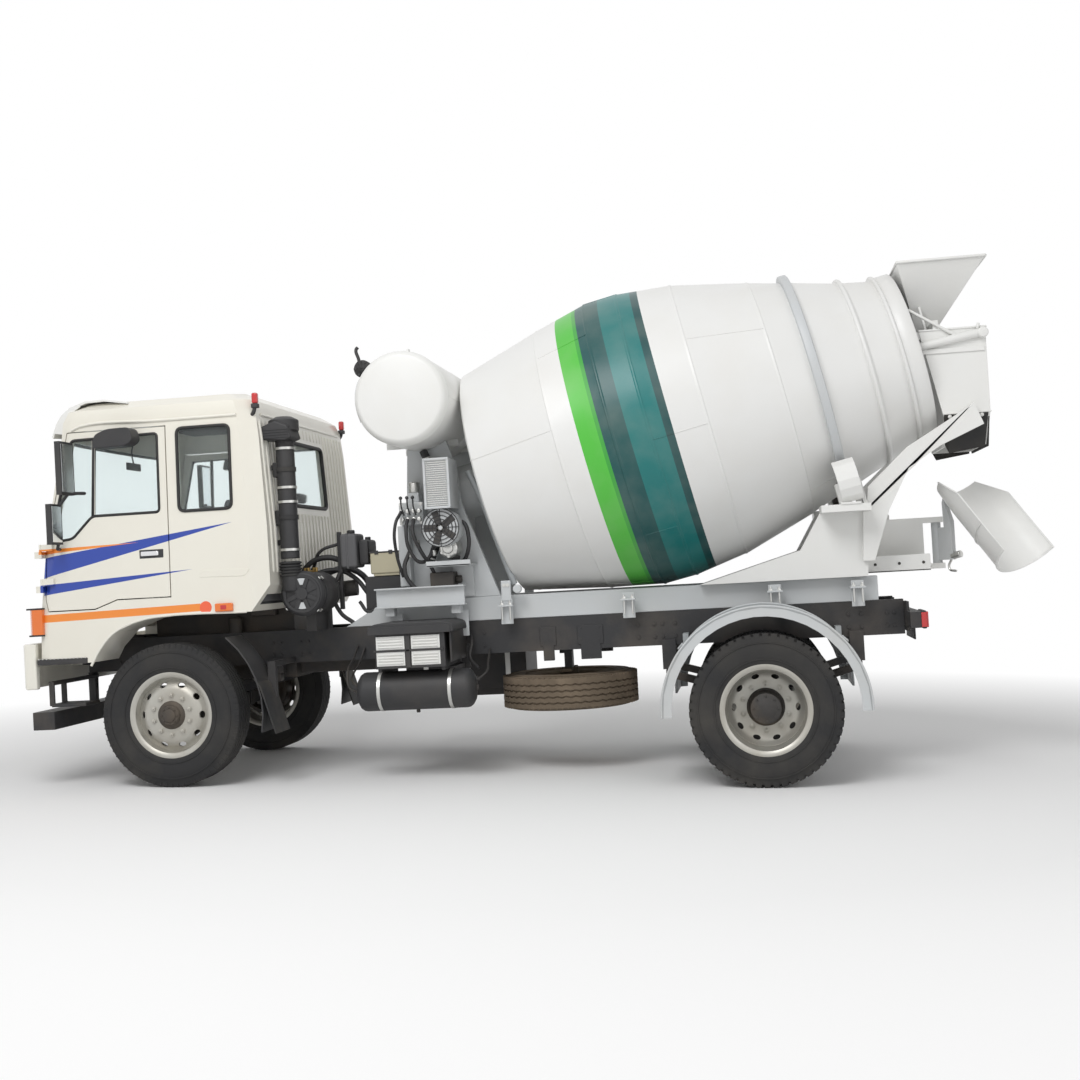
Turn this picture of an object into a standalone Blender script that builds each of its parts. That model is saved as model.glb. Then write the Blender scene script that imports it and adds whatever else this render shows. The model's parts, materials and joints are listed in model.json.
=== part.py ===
"""Concrete mixer truck, two axles, tilting cab, inclined drum.

Units are metres and +Z is up.  The truck faces -Y and its left side is +X.
Everything is drawn in the frame of the chassis: Y is measured rearwards from
the front axle, Z upwards from the ground under it, with the chassis rails level.
The empty "level_chassis" then leans that frame forward by RAKE about the front
axle, as the empty truck stands on its springs, and moves the origin to the
middle of the bottom of the whole truck.
"""
import math

import bmesh
import bpy
from mathutils import Matrix, Vector

for old in list(bpy.data.objects):
    bpy.data.objects.remove(old, do_unlink=True)

# ---------------------------------------------------------------- driving dimensions
SEAT = 0.0003                 # gap between pieces that rest on each other
RUN = 0.006                   # running clearance of pieces that move
RAKE = math.radians(1.75)     # nose-down lean of the chassis on its springs
WHEELBASE = 4.240
ORIGIN_BEHIND_AXLE = 2.573    # middle of the truck's length, from the front axle

TYRE_RADIUS = 0.522
TYRE_WIDTH = 0.260
BEAD_RADIUS = 0.285
BEAD_HALF = 0.100
FLANGE_RADIUS = 0.312
FLANGE = 0.012
TYRE_SIDES = 24
RIM_SIDES = TYRE_SIDES       # so that a rim nests in its tyre
FRONT_TRACK = 0.980           # centre of a front tyre
DUAL_CENTRE = 0.900           # middle of a rear pair
DUAL_HALF = 0.160             # from there to the centre of each tyre
KINGPIN_X = 0.790
STEER_BLOCK = 0.040
AXLE_HEIGHT = TYRE_RADIUS * math.cos(math.pi / TYRE_SIDES)   # a flat of the tyre stands on the ground
REAR_AXLE_Y = WHEELBASE * math.cos(RAKE)
REAR_AXLE_Z = AXLE_HEIGHT - WHEELBASE * math.sin(RAKE)

RAIL_OUTER = 0.430
RAIL_INNER = 0.350
RAIL_TOP = 1.063
RAIL_BOTTOM = 0.815
RAIL_WALL = 0.010
RAIL_FRONT = -0.940
RAIL_REAR = 5.250

SUBFRAME_TOP = 1.240
SUBFRAME_FRONT = 1.140
SUBFRAME_REAR = 5.080
SUBFRAME_OUTER = 0.430
SUBFRAME_INNER = 0.340

CAB_WALL = 0.045
CAB_FLOOR = 1.235
STEP_WELL_INNER = 0.760       # the cab reaches below its floor only outside this
CAB_PIVOT_Y = -0.965
CAB_PIVOT_Z = 1.105
CAB_PIVOT = (CAB_PIVOT_Y, CAB_PIVOT_Z)
DOOR_GAP = 0.008
GLASS = 0.006

CLEANER_Z = 1.340
SNORKEL_FOOT = 1.600          # the snorkel rides on the cab and stops over the cleaner's riser

DRUM_Y = 2.180                # a point of the drum's axis, and the axis's rise
DRUM_Z = 2.083
DRUM_TILT = math.radians(12.7)
DRUM_WALL = 0.012
DRUM_HEAD_S = 0.160           # place of the drum's recessed head along the axis
GEARBOX_RADIUS = 0.210
TRACK_S = 2.610               # place of the track ring along the axis
TRACK_RADIUS = 0.875
TRACK_HALF = 0.035
MOUTH_S = 3.360
MOUTH_RADIUS = 0.600
ROLLER_RADIUS = 0.120
ROLLER_HALF = 0.050
ROLLER_ANGLE = math.radians(50.0)   # below the horizontal, seen along the axis

TANK_Y = 1.785
TANK_Z = 2.700
TANK_RADIUS = 0.340
TANK_HALF = 0.980

CHUTE_POST_Y = 5.560
CHUTE_HEADING = math.radians(45.0)  # from straight back towards the left
CHUTE_DIP = math.radians(50.0)
CHUTE_LENGTH = 0.760
CHUTE_RADIUS = 0.300
CHUTE_HEAD_RADIUS = 0.235      # narrower where it passes the pedestal
CHUTE_WALL = 0.008
CHUTE_HINGE_Z = 1.790
CHUTE_OFF_HINGE = 0.006       # from the hinge axis to the chute's underside

# ---------------------------------------------------------------- finishes
FINISHES = {                  # name: (colour, roughness, metallic)
    "cab_ivory": ((0.78, 0.76, 0.68), 0.35, 0.0),
    "mixer_white": ((0.80, 0.80, 0.78), 0.40, 0.0),
    "frame_grey": ((0.62, 0.64, 0.64), 0.45, 0.0),
    "chassis_black": ((0.03, 0.03, 0.03), 0.55, 0.0),
    "rubber_black": ((0.025, 0.025, 0.025), 0.85, 0.0),
    "rim_silver": ((0.55, 0.54, 0.50), 0.40, 0.6),
    "cast_iron": ((0.10, 0.10, 0.10), 0.60, 0.5),
    "moulded_black": ((0.04, 0.04, 0.045), 0.60, 0.0),
    "window_glass": ((0.55, 0.62, 0.62), 0.05, 0.0),
    "seat_fabric": ((0.18, 0.17, 0.16), 0.90, 0.0),
    "guard_grey": ((0.45, 0.47, 0.48), 0.50, 0.2),
}


def finish(name):
    """The Principled material of that name, made once."""
    made = bpy.data.materials.get(name)
    if made:
        return made
    colour, roughness, metallic = FINISHES[name]
    made = bpy.data.materials.new(name)
    made.use_nodes = True
    shader = made.node_tree.nodes["Principled BSDF"]
    shader.inputs["Base Color"].default_value = (*colour, 1.0)
    shader.inputs["Roughness"].default_value = roughness
    shader.inputs["Metallic"].default_value = metallic
    return made


# ---------------------------------------------------------------- the level chassis frame
level_chassis = bpy.data.objects.new("level_chassis", None)
bpy.context.scene.collection.objects.link(level_chassis)
level_chassis.rotation_euler = (RAKE, 0.0, 0.0)
lean = Matrix.Rotation(RAKE, 3, "X")
level_chassis.location = (Vector((0.0, -ORIGIN_BEHIND_AXLE, AXLE_HEIGHT))
                          - lean @ Vector((0.0, 0.0, AXLE_HEIGHT)))


# ---------------------------------------------------------------- shapes
def shape_from(mesh_maker):
    """A scratch object whose mesh is what mesh_maker builds in a bmesh."""
    bm = bmesh.new()
    mesh_maker(bm)
    bmesh.ops.remove_doubles(bm, verts=bm.verts[:], dist=1e-6)
    bmesh.ops.recalc_face_normals(bm, faces=bm.faces[:])
    mesh = bpy.data.meshes.new("shape")
    bm.to_mesh(mesh)
    bm.free()
    obj = bpy.data.objects.new("shape", mesh)
    bpy.context.scene.collection.objects.link(obj)
    return obj


def rings(loops, closed_ends=True, closed_run=False):
    """Skin equal rings of points; the ends are capped, or the run joins up."""
    def make(bm):
        rows = [[bm.verts.new(p) for p in loop] for loop in loops]
        count = len(loops[0])
        pairs = list(zip(rows, rows[1:]))
        if closed_run:
            pairs.append((rows[-1], rows[0]))
        for near, far in pairs:
            for i in range(count):
                j = (i + 1) % count
                bm.faces.new((near[i], near[j], far[j], far[i]))
        if closed_ends and not closed_run:
            bm.faces.new(rows[0][::-1])
            bm.faces.new(rows[-1])
    return shape_from(make)


def prism(outline, axis, low, high):
    """An outline pushed along an axis: (Y, Z) along X, (X, Z) along Y, (X, Y) along Z."""
    place = {"X": lambda a, b, c: (c, a, b), "Y": lambda a, b, c: (a, c, b), "Z": lambda a, b, c: (a, b, c)}[axis]
    return rings([[place(a, b, low) for a, b in outline], [place(a, b, high) for a, b in outline]])


def block(x, y, z):
    """A box from three (low, high) pairs."""
    return prism([(x[0], y[0]), (x[1], y[0]), (x[1], y[1]), (x[0], y[1])], "Z", z[0], z[1])


def axis_frame(start, along):
    """Two directions square to a direction, the first as level as it can be."""
    along = Vector(along).normalized()
    side = Vector((1.0, 0.0, 0.0)) if abs(along.x) < 0.9 else Vector((0.0, 1.0, 0.0))
    up = side.cross(along).normalized()
    side = along.cross(up).normalized()
    return Vector(start), along, side, up


def turned(profile, start, along, sides, phase=0.0, closed_run=False):
    """Turn (distance along, radius) points about an axis; radius 0 at an end makes a pole."""
    origin, along, side, up = axis_frame(start, along)

    def make(bm):
        rows = []
        for s, r in profile:
            if r == 0.0:
                rows.append([bm.verts.new(origin + along * s)])
                continue
            ring = []
            for k in range(sides):
                a = phase + 2.0 * math.pi * k / sides
                ring.append(bm.verts.new(origin + along * s + side * (r * math.cos(a)) + up * (r * math.sin(a))))
            rows.append(ring)
        pairs = list(zip(rows, rows[1:]))
        if closed_run:
            pairs.append((rows[-1], rows[0]))
        for near, far in pairs:
            for k in range(sides):
                m = (k + 1) % sides
                if len(near) == 1:
                    bm.faces.new((near[0], far[m], far[k]))
                elif len(far) == 1:
                    bm.faces.new((near[k], near[m], far[0]))
                else:
                    bm.faces.new((near[k], near[m], far[m], far[k]))
    return shape_from(make)


def rod(start, end, radius, sides=10):
    """A round bar between two points."""
    start, end = Vector(start), Vector(end)
    length = (end - start).length
    return turned([(0.0, 0.0), (0.0, radius), (length, radius), (length, 0.0)], start, end - start, sides)


def combine(operation, base, others):
    """One Boolean after another on base; the others are used up."""
    for other in others:
        other.hide_render = True
        other.display_type = "WIRE"
        step = base.modifiers.new(operation, "BOOLEAN")
        step.operation = operation
        step.object = other
        step.solver = "EXACT"
    bpy.context.view_layer.update()
    graph = bpy.context.evaluated_depsgraph_get()
    mesh = bpy.data.meshes.new_from_object(base.evaluated_get(graph), depsgraph=graph)
    base.modifiers.clear()
    base.data = mesh
    for other in others:
        bpy.data.objects.remove(other, do_unlink=True)
    tidy(base)
    return base


def tidy(obj):
    """Drop the slivers that a Boolean leaves and join coplanar faces."""
    bm = bmesh.new()
    bm.from_mesh(obj.data)
    bmesh.ops.remove_doubles(bm, verts=bm.verts[:], dist=2e-6)
    bmesh.ops.dissolve_degenerate(bm, dist=2e-6, edges=bm.edges[:])
    bm.to_mesh(obj.data)
    bm.free()


def join(base, *others):
    return combine("UNION", base, others)


def cut(base, *others):
    return combine("DIFFERENCE", base, others)


def common(base, *others):
    return combine("INTERSECT", base, others)


def copy_of(obj):
    """A second scratch shape like the first."""
    twin = bpy.data.objects.new("shape", obj.data.copy())
    bpy.context.scene.collection.objects.link(twin)
    return twin


def mirrored(obj):
    """A copy on the other side of the truck."""
    twin = copy_of(obj)
    twin.data.transform(Matrix.Scale(-1.0, 4, Vector((1.0, 0.0, 0.0))))
    twin.data.flip_normals()
    return twin


def node(name, shape, finish_name, origin=(0.0, 0.0, 0.0), smooth=False):
    """Turn a scratch shape into a named piece with its origin at a point of the chassis frame."""
    shape.name = name
    shape.data.name = name
    shape.data.transform(Matrix.Translation(-Vector(origin)))
    shape.location = origin
    shape.parent = level_chassis
    shape.data.materials.clear()
    shape.data.materials.append(finish(finish_name))
    if smooth:
        shape.data.shade_smooth()
        shape.data.set_sharp_from_angle(angle=math.radians(35.0))
    return shape


def both_sides(name, left_shape, finish_name, origin=(0.0, 0.0, 0.0), smooth=False):
    """A left piece and its mirror image, as two nodes."""
    right_shape = mirrored(left_shape)
    node(name + "_left", left_shape, finish_name, origin, smooth)
    node(name + "_right", right_shape, finish_name, (-origin[0], origin[1], origin[2]), smooth)


def arc(centre, radius, start, end, steps):
    """Points of an arc in a plane, angles in degrees."""
    points = []
    for k in range(steps + 1):
        a = math.radians(start + (end - start) * k / steps)
        points.append((centre[0] + radius * math.cos(a), centre[1] + radius * math.sin(a)))
    return points


# ---------------------------------------------------------------- wheels and axles
def wheel_ring(profile, centre, sides, run=False):
    """A ring or disc turned about the lateral axis, a flat at the bottom of the leaned truck."""
    phase = math.pi / 2.0 + RAKE + math.pi / sides
    return turned(profile, centre, (1.0, 0.0, 0.0), sides, phase, run)


def tyre_profile():
    """Half of a tyre's section from bead to tread and its mirror image: (distance along the axle, radius)."""
    half = TYRE_WIDTH / 2.0
    side = [(BEAD_HALF, BEAD_RADIUS), (BEAD_HALF, FLANGE_RADIUS + 0.004), (half, 0.410), (half - 0.018, 0.495),
            (half - 0.040, TYRE_RADIUS)]
    return side + [(-x, r) for x, r in reversed(side)]


def tyre(centre):
    """A tyre as a solid ring."""
    return wheel_ring(tyre_profile(), centre, TYRE_SIDES, run=True)


def rim_barrel(middle):
    """The outside of one rim, outer flange first, as (x, radius) from the wheel's middle."""
    bed = BEAD_HALF + SEAT
    return [(middle + bed + FLANGE, FLANGE_RADIUS - 0.045), (middle + bed + FLANGE, FLANGE_RADIUS),
            (middle + bed, FLANGE_RADIUS), (middle + bed, BEAD_RADIUS - SEAT),
            (middle - bed, BEAD_RADIUS - SEAT), (middle - bed, FLANGE_RADIUS),
            (middle - bed - FLANGE, FLANGE_RADIUS), (middle - bed - FLANGE, FLANGE_RADIUS - 0.045)]


def build_wheels():
    """Front wheels one by one, rear wheels as pairs on one double rim."""
    rear = Vector((0.0, REAR_AXLE_Y, REAR_AXLE_Z))
    front = Vector((0.0, 0.0, AXLE_HEIGHT))
    front_face = [(0.150, 0.0), (0.150, 0.075), (0.095, 0.085), (0.090, 0.210), (0.060, 0.245)]
    front_back = [(-0.020, 0.255), (-0.020, 0.195), (-0.120, 0.195), (-0.120, 0.0)]
    rear_face = [(0.170, 0.0), (0.170, 0.070), (0.150, 0.105), (0.020, 0.110), (0.020, 0.215), (0.060, 0.262)]
    edge = DUAL_HALF - BEAD_HALF - SEAT - FLANGE
    waist = [(edge, FLANGE_RADIUS - 0.045), (0.010, 0.235), (-0.010, 0.235), (-edge, FLANGE_RADIUS - 0.045)]
    rear_back = [(-0.080, 0.262), (-0.080, 0.200), (-0.300, 0.200), (-0.300, 0.0)]
    for side, name in ((1.0, "left"), (-1.0, "right")):
        wheel = front + Vector((side * FRONT_TRACK, 0.0, 0.0))
        profile = front_face + rim_barrel(0.0) + front_back
        rim = wheel_ring([(side * x, r) for x, r in profile], wheel, RIM_SIDES)
        node("front_rim_" + name, rim, "rim_silver", wheel, True)
        node("front_tyre_" + name, tyre(wheel), "rubber_black", wheel, True)
        pair = rear + Vector((side * DUAL_CENTRE, 0.0, 0.0))
        outer = rim_barrel(DUAL_HALF)
        inner = rim_barrel(-DUAL_HALF)
        profile = rear_face + outer[:-1] + waist + inner[1:] + rear_back
        rim = wheel_ring([(side * x, r) for x, r in profile], pair, RIM_SIDES)
        node("rear_rims_" + name, rim, "rim_silver", pair, True)
        for place, offset in (("outer", DUAL_HALF), ("inner", -DUAL_HALF)):
            centre = pair + Vector((side * offset, 0.0, 0.0))
            node("rear_tyre_" + place + "_" + name, tyre(centre), "rubber_black", centre, True)


def leaf_spring(axle_y, axle_z, half_length, eye_z):
    """One side's leaf pack: a bowed strap and the block that ties it to the axle."""
    x = (RAIL_OUTER - 0.045, RAIL_OUTER + 0.030)
    thick = 0.055
    top = [(axle_y - half_length, eye_z), (axle_y - half_length * 0.5, axle_z + 0.150),
           (axle_y, axle_z + 0.125), (axle_y + half_length * 0.5, axle_z + 0.150), (axle_y + half_length, eye_z)]
    under = [(y, z - thick) for y, z in reversed(top)]
    pack = prism(top + under, "X", x[0], x[1])
    return join(pack, block(x, (axle_y - 0.060, axle_y + 0.060), (axle_z - 0.080, axle_z + 0.090)))


FRONT_SPRING_HALF = 0.620
REAR_SPRING_HALF = 0.700
FRONT_EYE_Z = 0.740
REAR_EYE_Z = 0.640


def build_axles():
    """The front beam with its springs, the steered knuckles, and the driven rear axle."""
    beam_end = KINGPIN_X - STEER_BLOCK - SEAT
    front = block((-beam_end, beam_end), (-0.045, 0.045), (AXLE_HEIGHT - 0.070, AXLE_HEIGHT + 0.030))
    springs = [leaf_spring(0.0, AXLE_HEIGHT, FRONT_SPRING_HALF, FRONT_EYE_Z)]
    springs.append(mirrored(springs[0]))
    node("front_axle", join(front, *springs), "chassis_black")

    hub_face = FRONT_TRACK - 0.120 - SEAT
    knuckle = rod((KINGPIN_X, 0.0, AXLE_HEIGHT - 0.110), (KINGPIN_X, 0.0, AXLE_HEIGHT + 0.110), STEER_BLOCK, 16)
    spindle = rod((KINGPIN_X, 0.0, AXLE_HEIGHT), (hub_face, 0.0, AXLE_HEIGHT), 0.045, 12)
    both_sides("knuckle", join(knuckle, spindle), "cast_iron", (KINGPIN_X, 0.0, AXLE_HEIGHT))

    centre = (0.0, REAR_AXLE_Y, REAR_AXLE_Z)
    tube_end = DUAL_CENTRE - 0.300 - SEAT
    tube = rod((-tube_end, centre[1], centre[2]), (tube_end, centre[1], centre[2]), 0.070, 14)
    bowl = turned([(-0.190, 0.0), (-0.190, 0.120), (-0.080, 0.215), (0.110, 0.215), (0.190, 0.110), (0.190, 0.0)],
                  centre, (0.0, 1.0, 0.0), 16)
    springs = [leaf_spring(centre[1], centre[2], REAR_SPRING_HALF, REAR_EYE_Z)]
    springs.append(mirrored(springs[0]))
    node("rear_axle", join(tube, bowl, *springs), "chassis_black")


# ---------------------------------------------------------------- chassis
def channel(side):
    """One rail, a channel open towards the middle of the truck."""
    outer, inner, wall = side * RAIL_OUTER, side * RAIL_INNER, side * RAIL_WALL
    section = [(outer, RAIL_BOTTOM), (outer, RAIL_TOP), (inner, RAIL_TOP), (inner, RAIL_TOP - RAIL_WALL),
               (outer - wall, RAIL_TOP - RAIL_WALL), (outer - wall, RAIL_BOTTOM + RAIL_WALL),
               (inner, RAIL_BOTTOM + RAIL_WALL), (inner, RAIL_BOTTOM)]
    return prism(section, "Y", RAIL_FRONT, RAIL_REAR)


def build_chassis():
    """Ladder frame with spring hangers, cab hinge lugs, spare carrier and the rear lamp bar."""
    web = RAIL_OUTER - RAIL_WALL / 2.0
    parts = [channel(-1.0)]
    for y in (-0.880, 0.860, 1.900, 3.400, 4.700, 5.180):
        parts.append(block((-web, web), (y - 0.030, y + 0.030), (RAIL_BOTTOM + 0.030, RAIL_TOP - 0.040)))
    hanger_x = (RAIL_OUTER - 0.040, RAIL_OUTER + 0.025)
    for axle_y, half, eye in ((0.0, FRONT_SPRING_HALF, FRONT_EYE_Z), (REAR_AXLE_Y, REAR_SPRING_HALF, REAR_EYE_Z)):
        for end in (-half + 0.030, half - 0.030):
            y = (axle_y + end - 0.050, axle_y + end + 0.050)
            for mirror in (1.0, -1.0):
                x = sorted((hanger_x[0] * mirror, hanger_x[1] * mirror))
                parts.append(block(x, y, (eye + SEAT, RAIL_BOTTOM + 0.040)))
    for mirror in (1.0, -1.0):
        x = sorted((mirror * (RAIL_INNER + 0.010), mirror * (RAIL_OUTER - 0.002)))
        parts.append(block(x, (CAB_PIVOT_Y - 0.030, RAIL_FRONT + 0.100), (RAIL_BOTTOM + 0.060, RAIL_TOP - 0.013)))
        parts.append(block(x, (CAB_PIVOT_Y - 0.030, CAB_PIVOT_Y + 0.030), (RAIL_TOP - 0.030, CAB_PIVOT_Z + 0.030)))
    parts.append(block((-0.870, 0.870), (RAIL_REAR - 0.005, RAIL_REAR + 0.080), (0.875, 0.985)))
    parts.append(block((-0.050, 0.050), (2.740, 2.800), (0.658 + SEAT, 0.850)))
    parts.append(block((-web, web), (2.720, 2.820), (RAIL_BOTTOM + 0.005, RAIL_BOTTOM + 0.060)))
    node("chassis_frame", join(channel(1.0), *parts), "chassis_black")

    plan = [(1.175, -0.975), (1.175, -1.060), (1.060, -1.130), (-1.060, -1.130), (-1.175, -1.060), (-1.175, -0.975),
            (-1.120, -0.975), (-1.120, -1.040), (-1.030, -1.085), (1.030, -1.085), (1.120, -1.040), (1.120, -0.975)]
    bumper = prism(plan, "Z", 0.750, 1.080)
    stays = [block(x, (-1.090, CAB_PIVOT_Y - 0.030 - SEAT), (0.880, 1.000)) for x in ((0.360, 0.428), (-0.428, -0.360))]
    node("front_bumper", join(bumper, *stays), "cab_ivory")

    bar = block((-1.120, 1.120), (-1.050, -0.880), (0.450, 0.580))
    parts = []
    for side in (1.0, -1.0):
        post_x = sorted((side * 0.365, side * 0.415))
        parts.append(block(post_x, (-0.960, -0.900), (0.570, RAIL_BOTTOM - SEAT)))
        arm_x = sorted((side * 0.370, side * 1.090))
        parts.append(block(arm_x, (-0.930, -0.890), (0.770, 0.800)))
        tread_x = sorted((side * 0.880, side * 1.100))
        parts.append(block(tread_x, (-0.910, -0.640), (0.612, 0.636)))
        parts.append(block(sorted((side * 1.070, side * 1.090)), (-0.930, -0.890), (0.620, 0.790)))
        parts.append(block(sorted((side * 0.890, side * 0.910)), (-0.930, -0.890), (0.620, 0.790)))
    node("underrun_bar_and_steps", join(bar, *parts), "chassis_black")


def build_chassis_fittings():
    """Engine, battery box, tanks, air cleaner, spare wheel and mudguards."""
    engine = block((-0.320, 0.320), (-0.420, 0.700), (0.700, 1.420))
    gearbox = block((-0.200, 0.200), (0.690, 1.400), (0.720, 1.040))
    web = RAIL_OUTER - RAIL_WALL - SEAT
    mounts = block((-web, web), (0.000, 0.080), (0.870, 0.930))
    node("engine_and_gearbox", cut(join(engine, gearbox, mounts),
                                   block((-0.5, 0.5), (0.829 - RUN, 0.891 + RUN), (0.835, 1.100))), "cast_iron")

    side_x = RAIL_OUTER + SEAT
    box = block((side_x, 0.980), (1.510, 2.020), (0.770, 1.020))
    node("battery_box", join(box, block((0.480, 1.010), (1.470, 2.070), (1.015, 1.070))), "moulded_black")

    air = turned([(0.0, 0.0), (0.015, 0.100), (0.050, 0.142), (0.830, 0.142), (0.865, 0.100), (0.880, 0.0)],
                 (0.800, 1.320, 0.600), (0.0, 1.0, 0.0), 20)
    straps = [block((side_x, 0.800), (y, y + 0.050), (0.700, 0.760)) for y in (1.480, 2.000)]
    risers = [block((side_x, side_x + 0.030), (y, y + 0.050), (0.750, 0.900)) for y in (1.440, 2.040)]
    ties = [block((side_x, side_x + 0.030), (min(a, b), max(a, b) + 0.050), (0.715, 0.760))
            for a, b in ((1.440, 1.480), (2.000, 2.040))]
    node("air_tank", join(air, *straps, *ties, *risers), "moulded_black", smooth=True)

    fuel_plan = [(-1.080, 0.480), (-1.080, 0.880), (-1.020, 0.940), (-0.560, 0.940), (-0.500, 0.880),
                 (-0.500, 0.480), (-0.560, 0.420), (-1.020, 0.420)]
    fuel = prism(fuel_plan, "Y", 1.350, 2.350)
    arms = [block((-0.520, -side_x), (y, y + 0.060), (0.830, 0.900)) for y in (1.500, 2.140)]
    node("fuel_tank", join(fuel, *arms), "moulded_black")

    body = turned([(0.0, 0.0), (0.0, 0.155), (0.060, 0.165), (0.090, 0.165), (0.110, 0.152), (0.480, 0.152),
                   (0.500, 0.075), (0.640, 0.075), (0.640, 0.0)], (0.900, 0.965, CLEANER_Z), (-1.0, 0.0, 0.0), 20)
    saddle = block((0.360, 0.428), (0.900, 1.020), (RAIL_TOP + SEAT, CLEANER_Z))
    outer_saddle = block((0.428, 0.700), (0.920, 1.000), (RAIL_TOP + SEAT, CLEANER_Z - 0.100))
    riser = rod((0.860, 0.880, CLEANER_Z + 0.020), (0.860, 0.880, SNORKEL_FOOT - 0.040), 0.070, 16)
    node("air_cleaner", join(body, saddle, outer_saddle, riser), "moulded_black", smooth=True)

    spare_centre = (0.0, 2.770, 0.500)
    spare = turned(tyre_profile(), spare_centre, (0.0, 0.0, 1.0), TYRE_SIDES, closed_run=True)
    node("spare_tyre", spare, "rubber_black", spare_centre, True)
    disc = ([(0.158, 0.0), (0.158, 0.150), (0.060, 0.255)] + rim_barrel(0.0)
            + [(0.030, 0.245), (0.130, 0.140), (0.130, 0.0)])
    node("spare_rim", turned(disc, spare_centre, (0.0, 0.0, 1.0), RIM_SIDES), "rim_silver", spare_centre, True)

    for name, y, z, stay_angles, start, end, inner, outer in (
            ("front_mudguard", 0.0, AXLE_HEIGHT, (12.0,), -12.0, 50.0, 0.700, 0.712),
            ("rear_mudguard", REAR_AXLE_Y, REAR_AXLE_Z, (38.0, 142.0), -2.0, 182.0, 0.690, 0.702)):
        span = (0.820, 1.130) if name == "front_mudguard" else (0.610, 1.200)
        steps = 6 if name == "front_mudguard" else 14
        outline = arc((y, z), outer, start, end, steps) + arc((y, z), inner, end, start, steps)
        guard = prism(outline, "X", *span)
        stays = []
        for angle in stay_angles:
            a = math.radians(angle)
            reach = outer + 0.008 if name == "front_mudguard" else inner - 0.008
            place = (y + reach * math.cos(a), z + reach * math.sin(a))
            if name == "front_mudguard":
                stays.append(block((side_x, 0.900), (place[0] - 0.010, place[0] + 0.030), (0.820, 0.860)))
                stays.append(block((0.850, 0.900), (place[0] - 0.030, place[0] + 0.030), (0.600, 0.860)))
            else:
                stays.append(rod((1.150, place[0], place[1]), (0.590, place[0], place[1]), 0.021, 8))
                stays.append(block((side_x, 0.600), (place[0] - 0.020, place[0] + 0.020), (0.785, 0.900)))
        both_sides(name, join(guard, *stays), "guard_grey" if name == "rear_mudguard" else "moulded_black")


# ---------------------------------------------------------------- cab
# (height, front at the corners, rear, half width) of the cab's outline
CAB_SECTIONS = ((0.930, -0.990, 0.800, 1.180), (1.270, -0.980, 0.800, 1.170), (1.835, -0.920, 0.790, 1.150),
                (2.480, -0.790, 0.755, 1.128), (2.680, -0.765, 0.735, 1.118), (2.760, -0.730, 0.705, 1.095),
                (2.820, -0.640, 0.620, 0.980))
CAB_BULGE = 0.045
INSIDE_LEVELS = (1.280, 1.835, 2.480, 2.680, 2.765)


def cab_at(z):
    """Front, rear and half width of the cab at a height, by straight runs between the sections."""
    for low, high in zip(CAB_SECTIONS, CAB_SECTIONS[1:]):
        if z <= high[0]:
            t = (z - low[0]) / (high[0] - low[0])
            return [a + (b - a) * t for a, b in zip(low[1:], high[1:])]
    return list(CAB_SECTIONS[-1][1:])


def cab_ring(z, inset):
    """One level outline of the cab, drawn in by inset."""
    front, rear, half = cab_at(z)
    front, rear, half = front + inset, rear - inset, half - inset
    right = [(half, rear - 0.115), (half, front + 0.130), (half - 0.035, front + 0.045), (half - 0.120, front - 0.003),
             (half * 0.5, front - 0.035)]
    left_half = [(half - 0.075, rear)] + right
    points = left_half + [(0.0, front - CAB_BULGE)] + [(-x, y) for x, y in reversed(left_half)]
    return [(x, y, z) for x, y in points]


def cab_body(levels, inset):
    return rings([cab_ring(z, inset) for z in levels])


def cab_outer(inset=0.0):
    levels = [row[0] for row in CAB_SECTIONS]
    levels[-1] -= inset
    return cab_body(levels, inset)


def floor_tunnel(grow=0.0):
    """The raised floor over the engine."""
    return block((-0.380 - grow, 0.380 + grow), (-0.600 - grow, 1.000), (1.000, 1.460 + grow))


def cab_inside():
    return cut(cab_body(INSIDE_LEVELS, CAB_WALL), floor_tunnel(0.035))


DOOR_OUTLINE = ((-0.885, 1.400), (-0.860, 1.315), (-0.500, 1.315), (-0.330, 1.375), (0.075, 1.375),
                (0.075, 2.600), (-0.680, 2.600), (-0.795, 2.100), (-0.870, 1.800))
DOOR_WINDOW = ((-0.825, 1.810), (-0.655, 1.830), (-0.500, 1.985), (0.015, 1.985), (0.015, 2.555), (-0.645, 2.545))
QUARTER_LIGHT_BAR = ((-0.507, 1.950), (-0.483, 1.950), (-0.458, 2.580), (-0.482, 2.580))
SIDE_WINDOW = ((0.185, 1.980), (0.540, 1.980), (0.560, 2.000), (0.560, 2.560), (0.540, 2.580), (0.185, 2.580),
               (0.165, 2.560), (0.165, 2.000))
FRONT_WINDOW = ((-0.960, 1.620), (0.960, 1.620), (0.900, 2.560), (-0.900, 2.560))
REAR_WINDOW = ((-0.400, 2.010), (0.400, 2.010), (0.400, 2.500), (-0.400, 2.500))


def shrunk(outline, by):
    """An outline with each side moved inwards (or outwards where by is negative)."""
    area = sum(a[0] * b[1] - b[0] * a[1] for a, b in zip(outline, outline[1:] + outline[:1]))
    turn = 1.0 if area > 0.0 else -1.0
    moved = []
    count = len(outline)
    for i in range(count):
        before, here, after = (Vector(outline[(i + k) % count]) for k in (-1, 0, 1))
        d1 = (here - before).normalized()
        d2 = (after - here).normalized()
        n1 = Vector((-d1.y, d1.x)) * turn
        n2 = Vector((-d2.y, d2.x)) * turn
        step = (n1 + n2) / (1.0 + n1.dot(n2))
        moved.append(tuple(here + step * by))
    return moved


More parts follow.
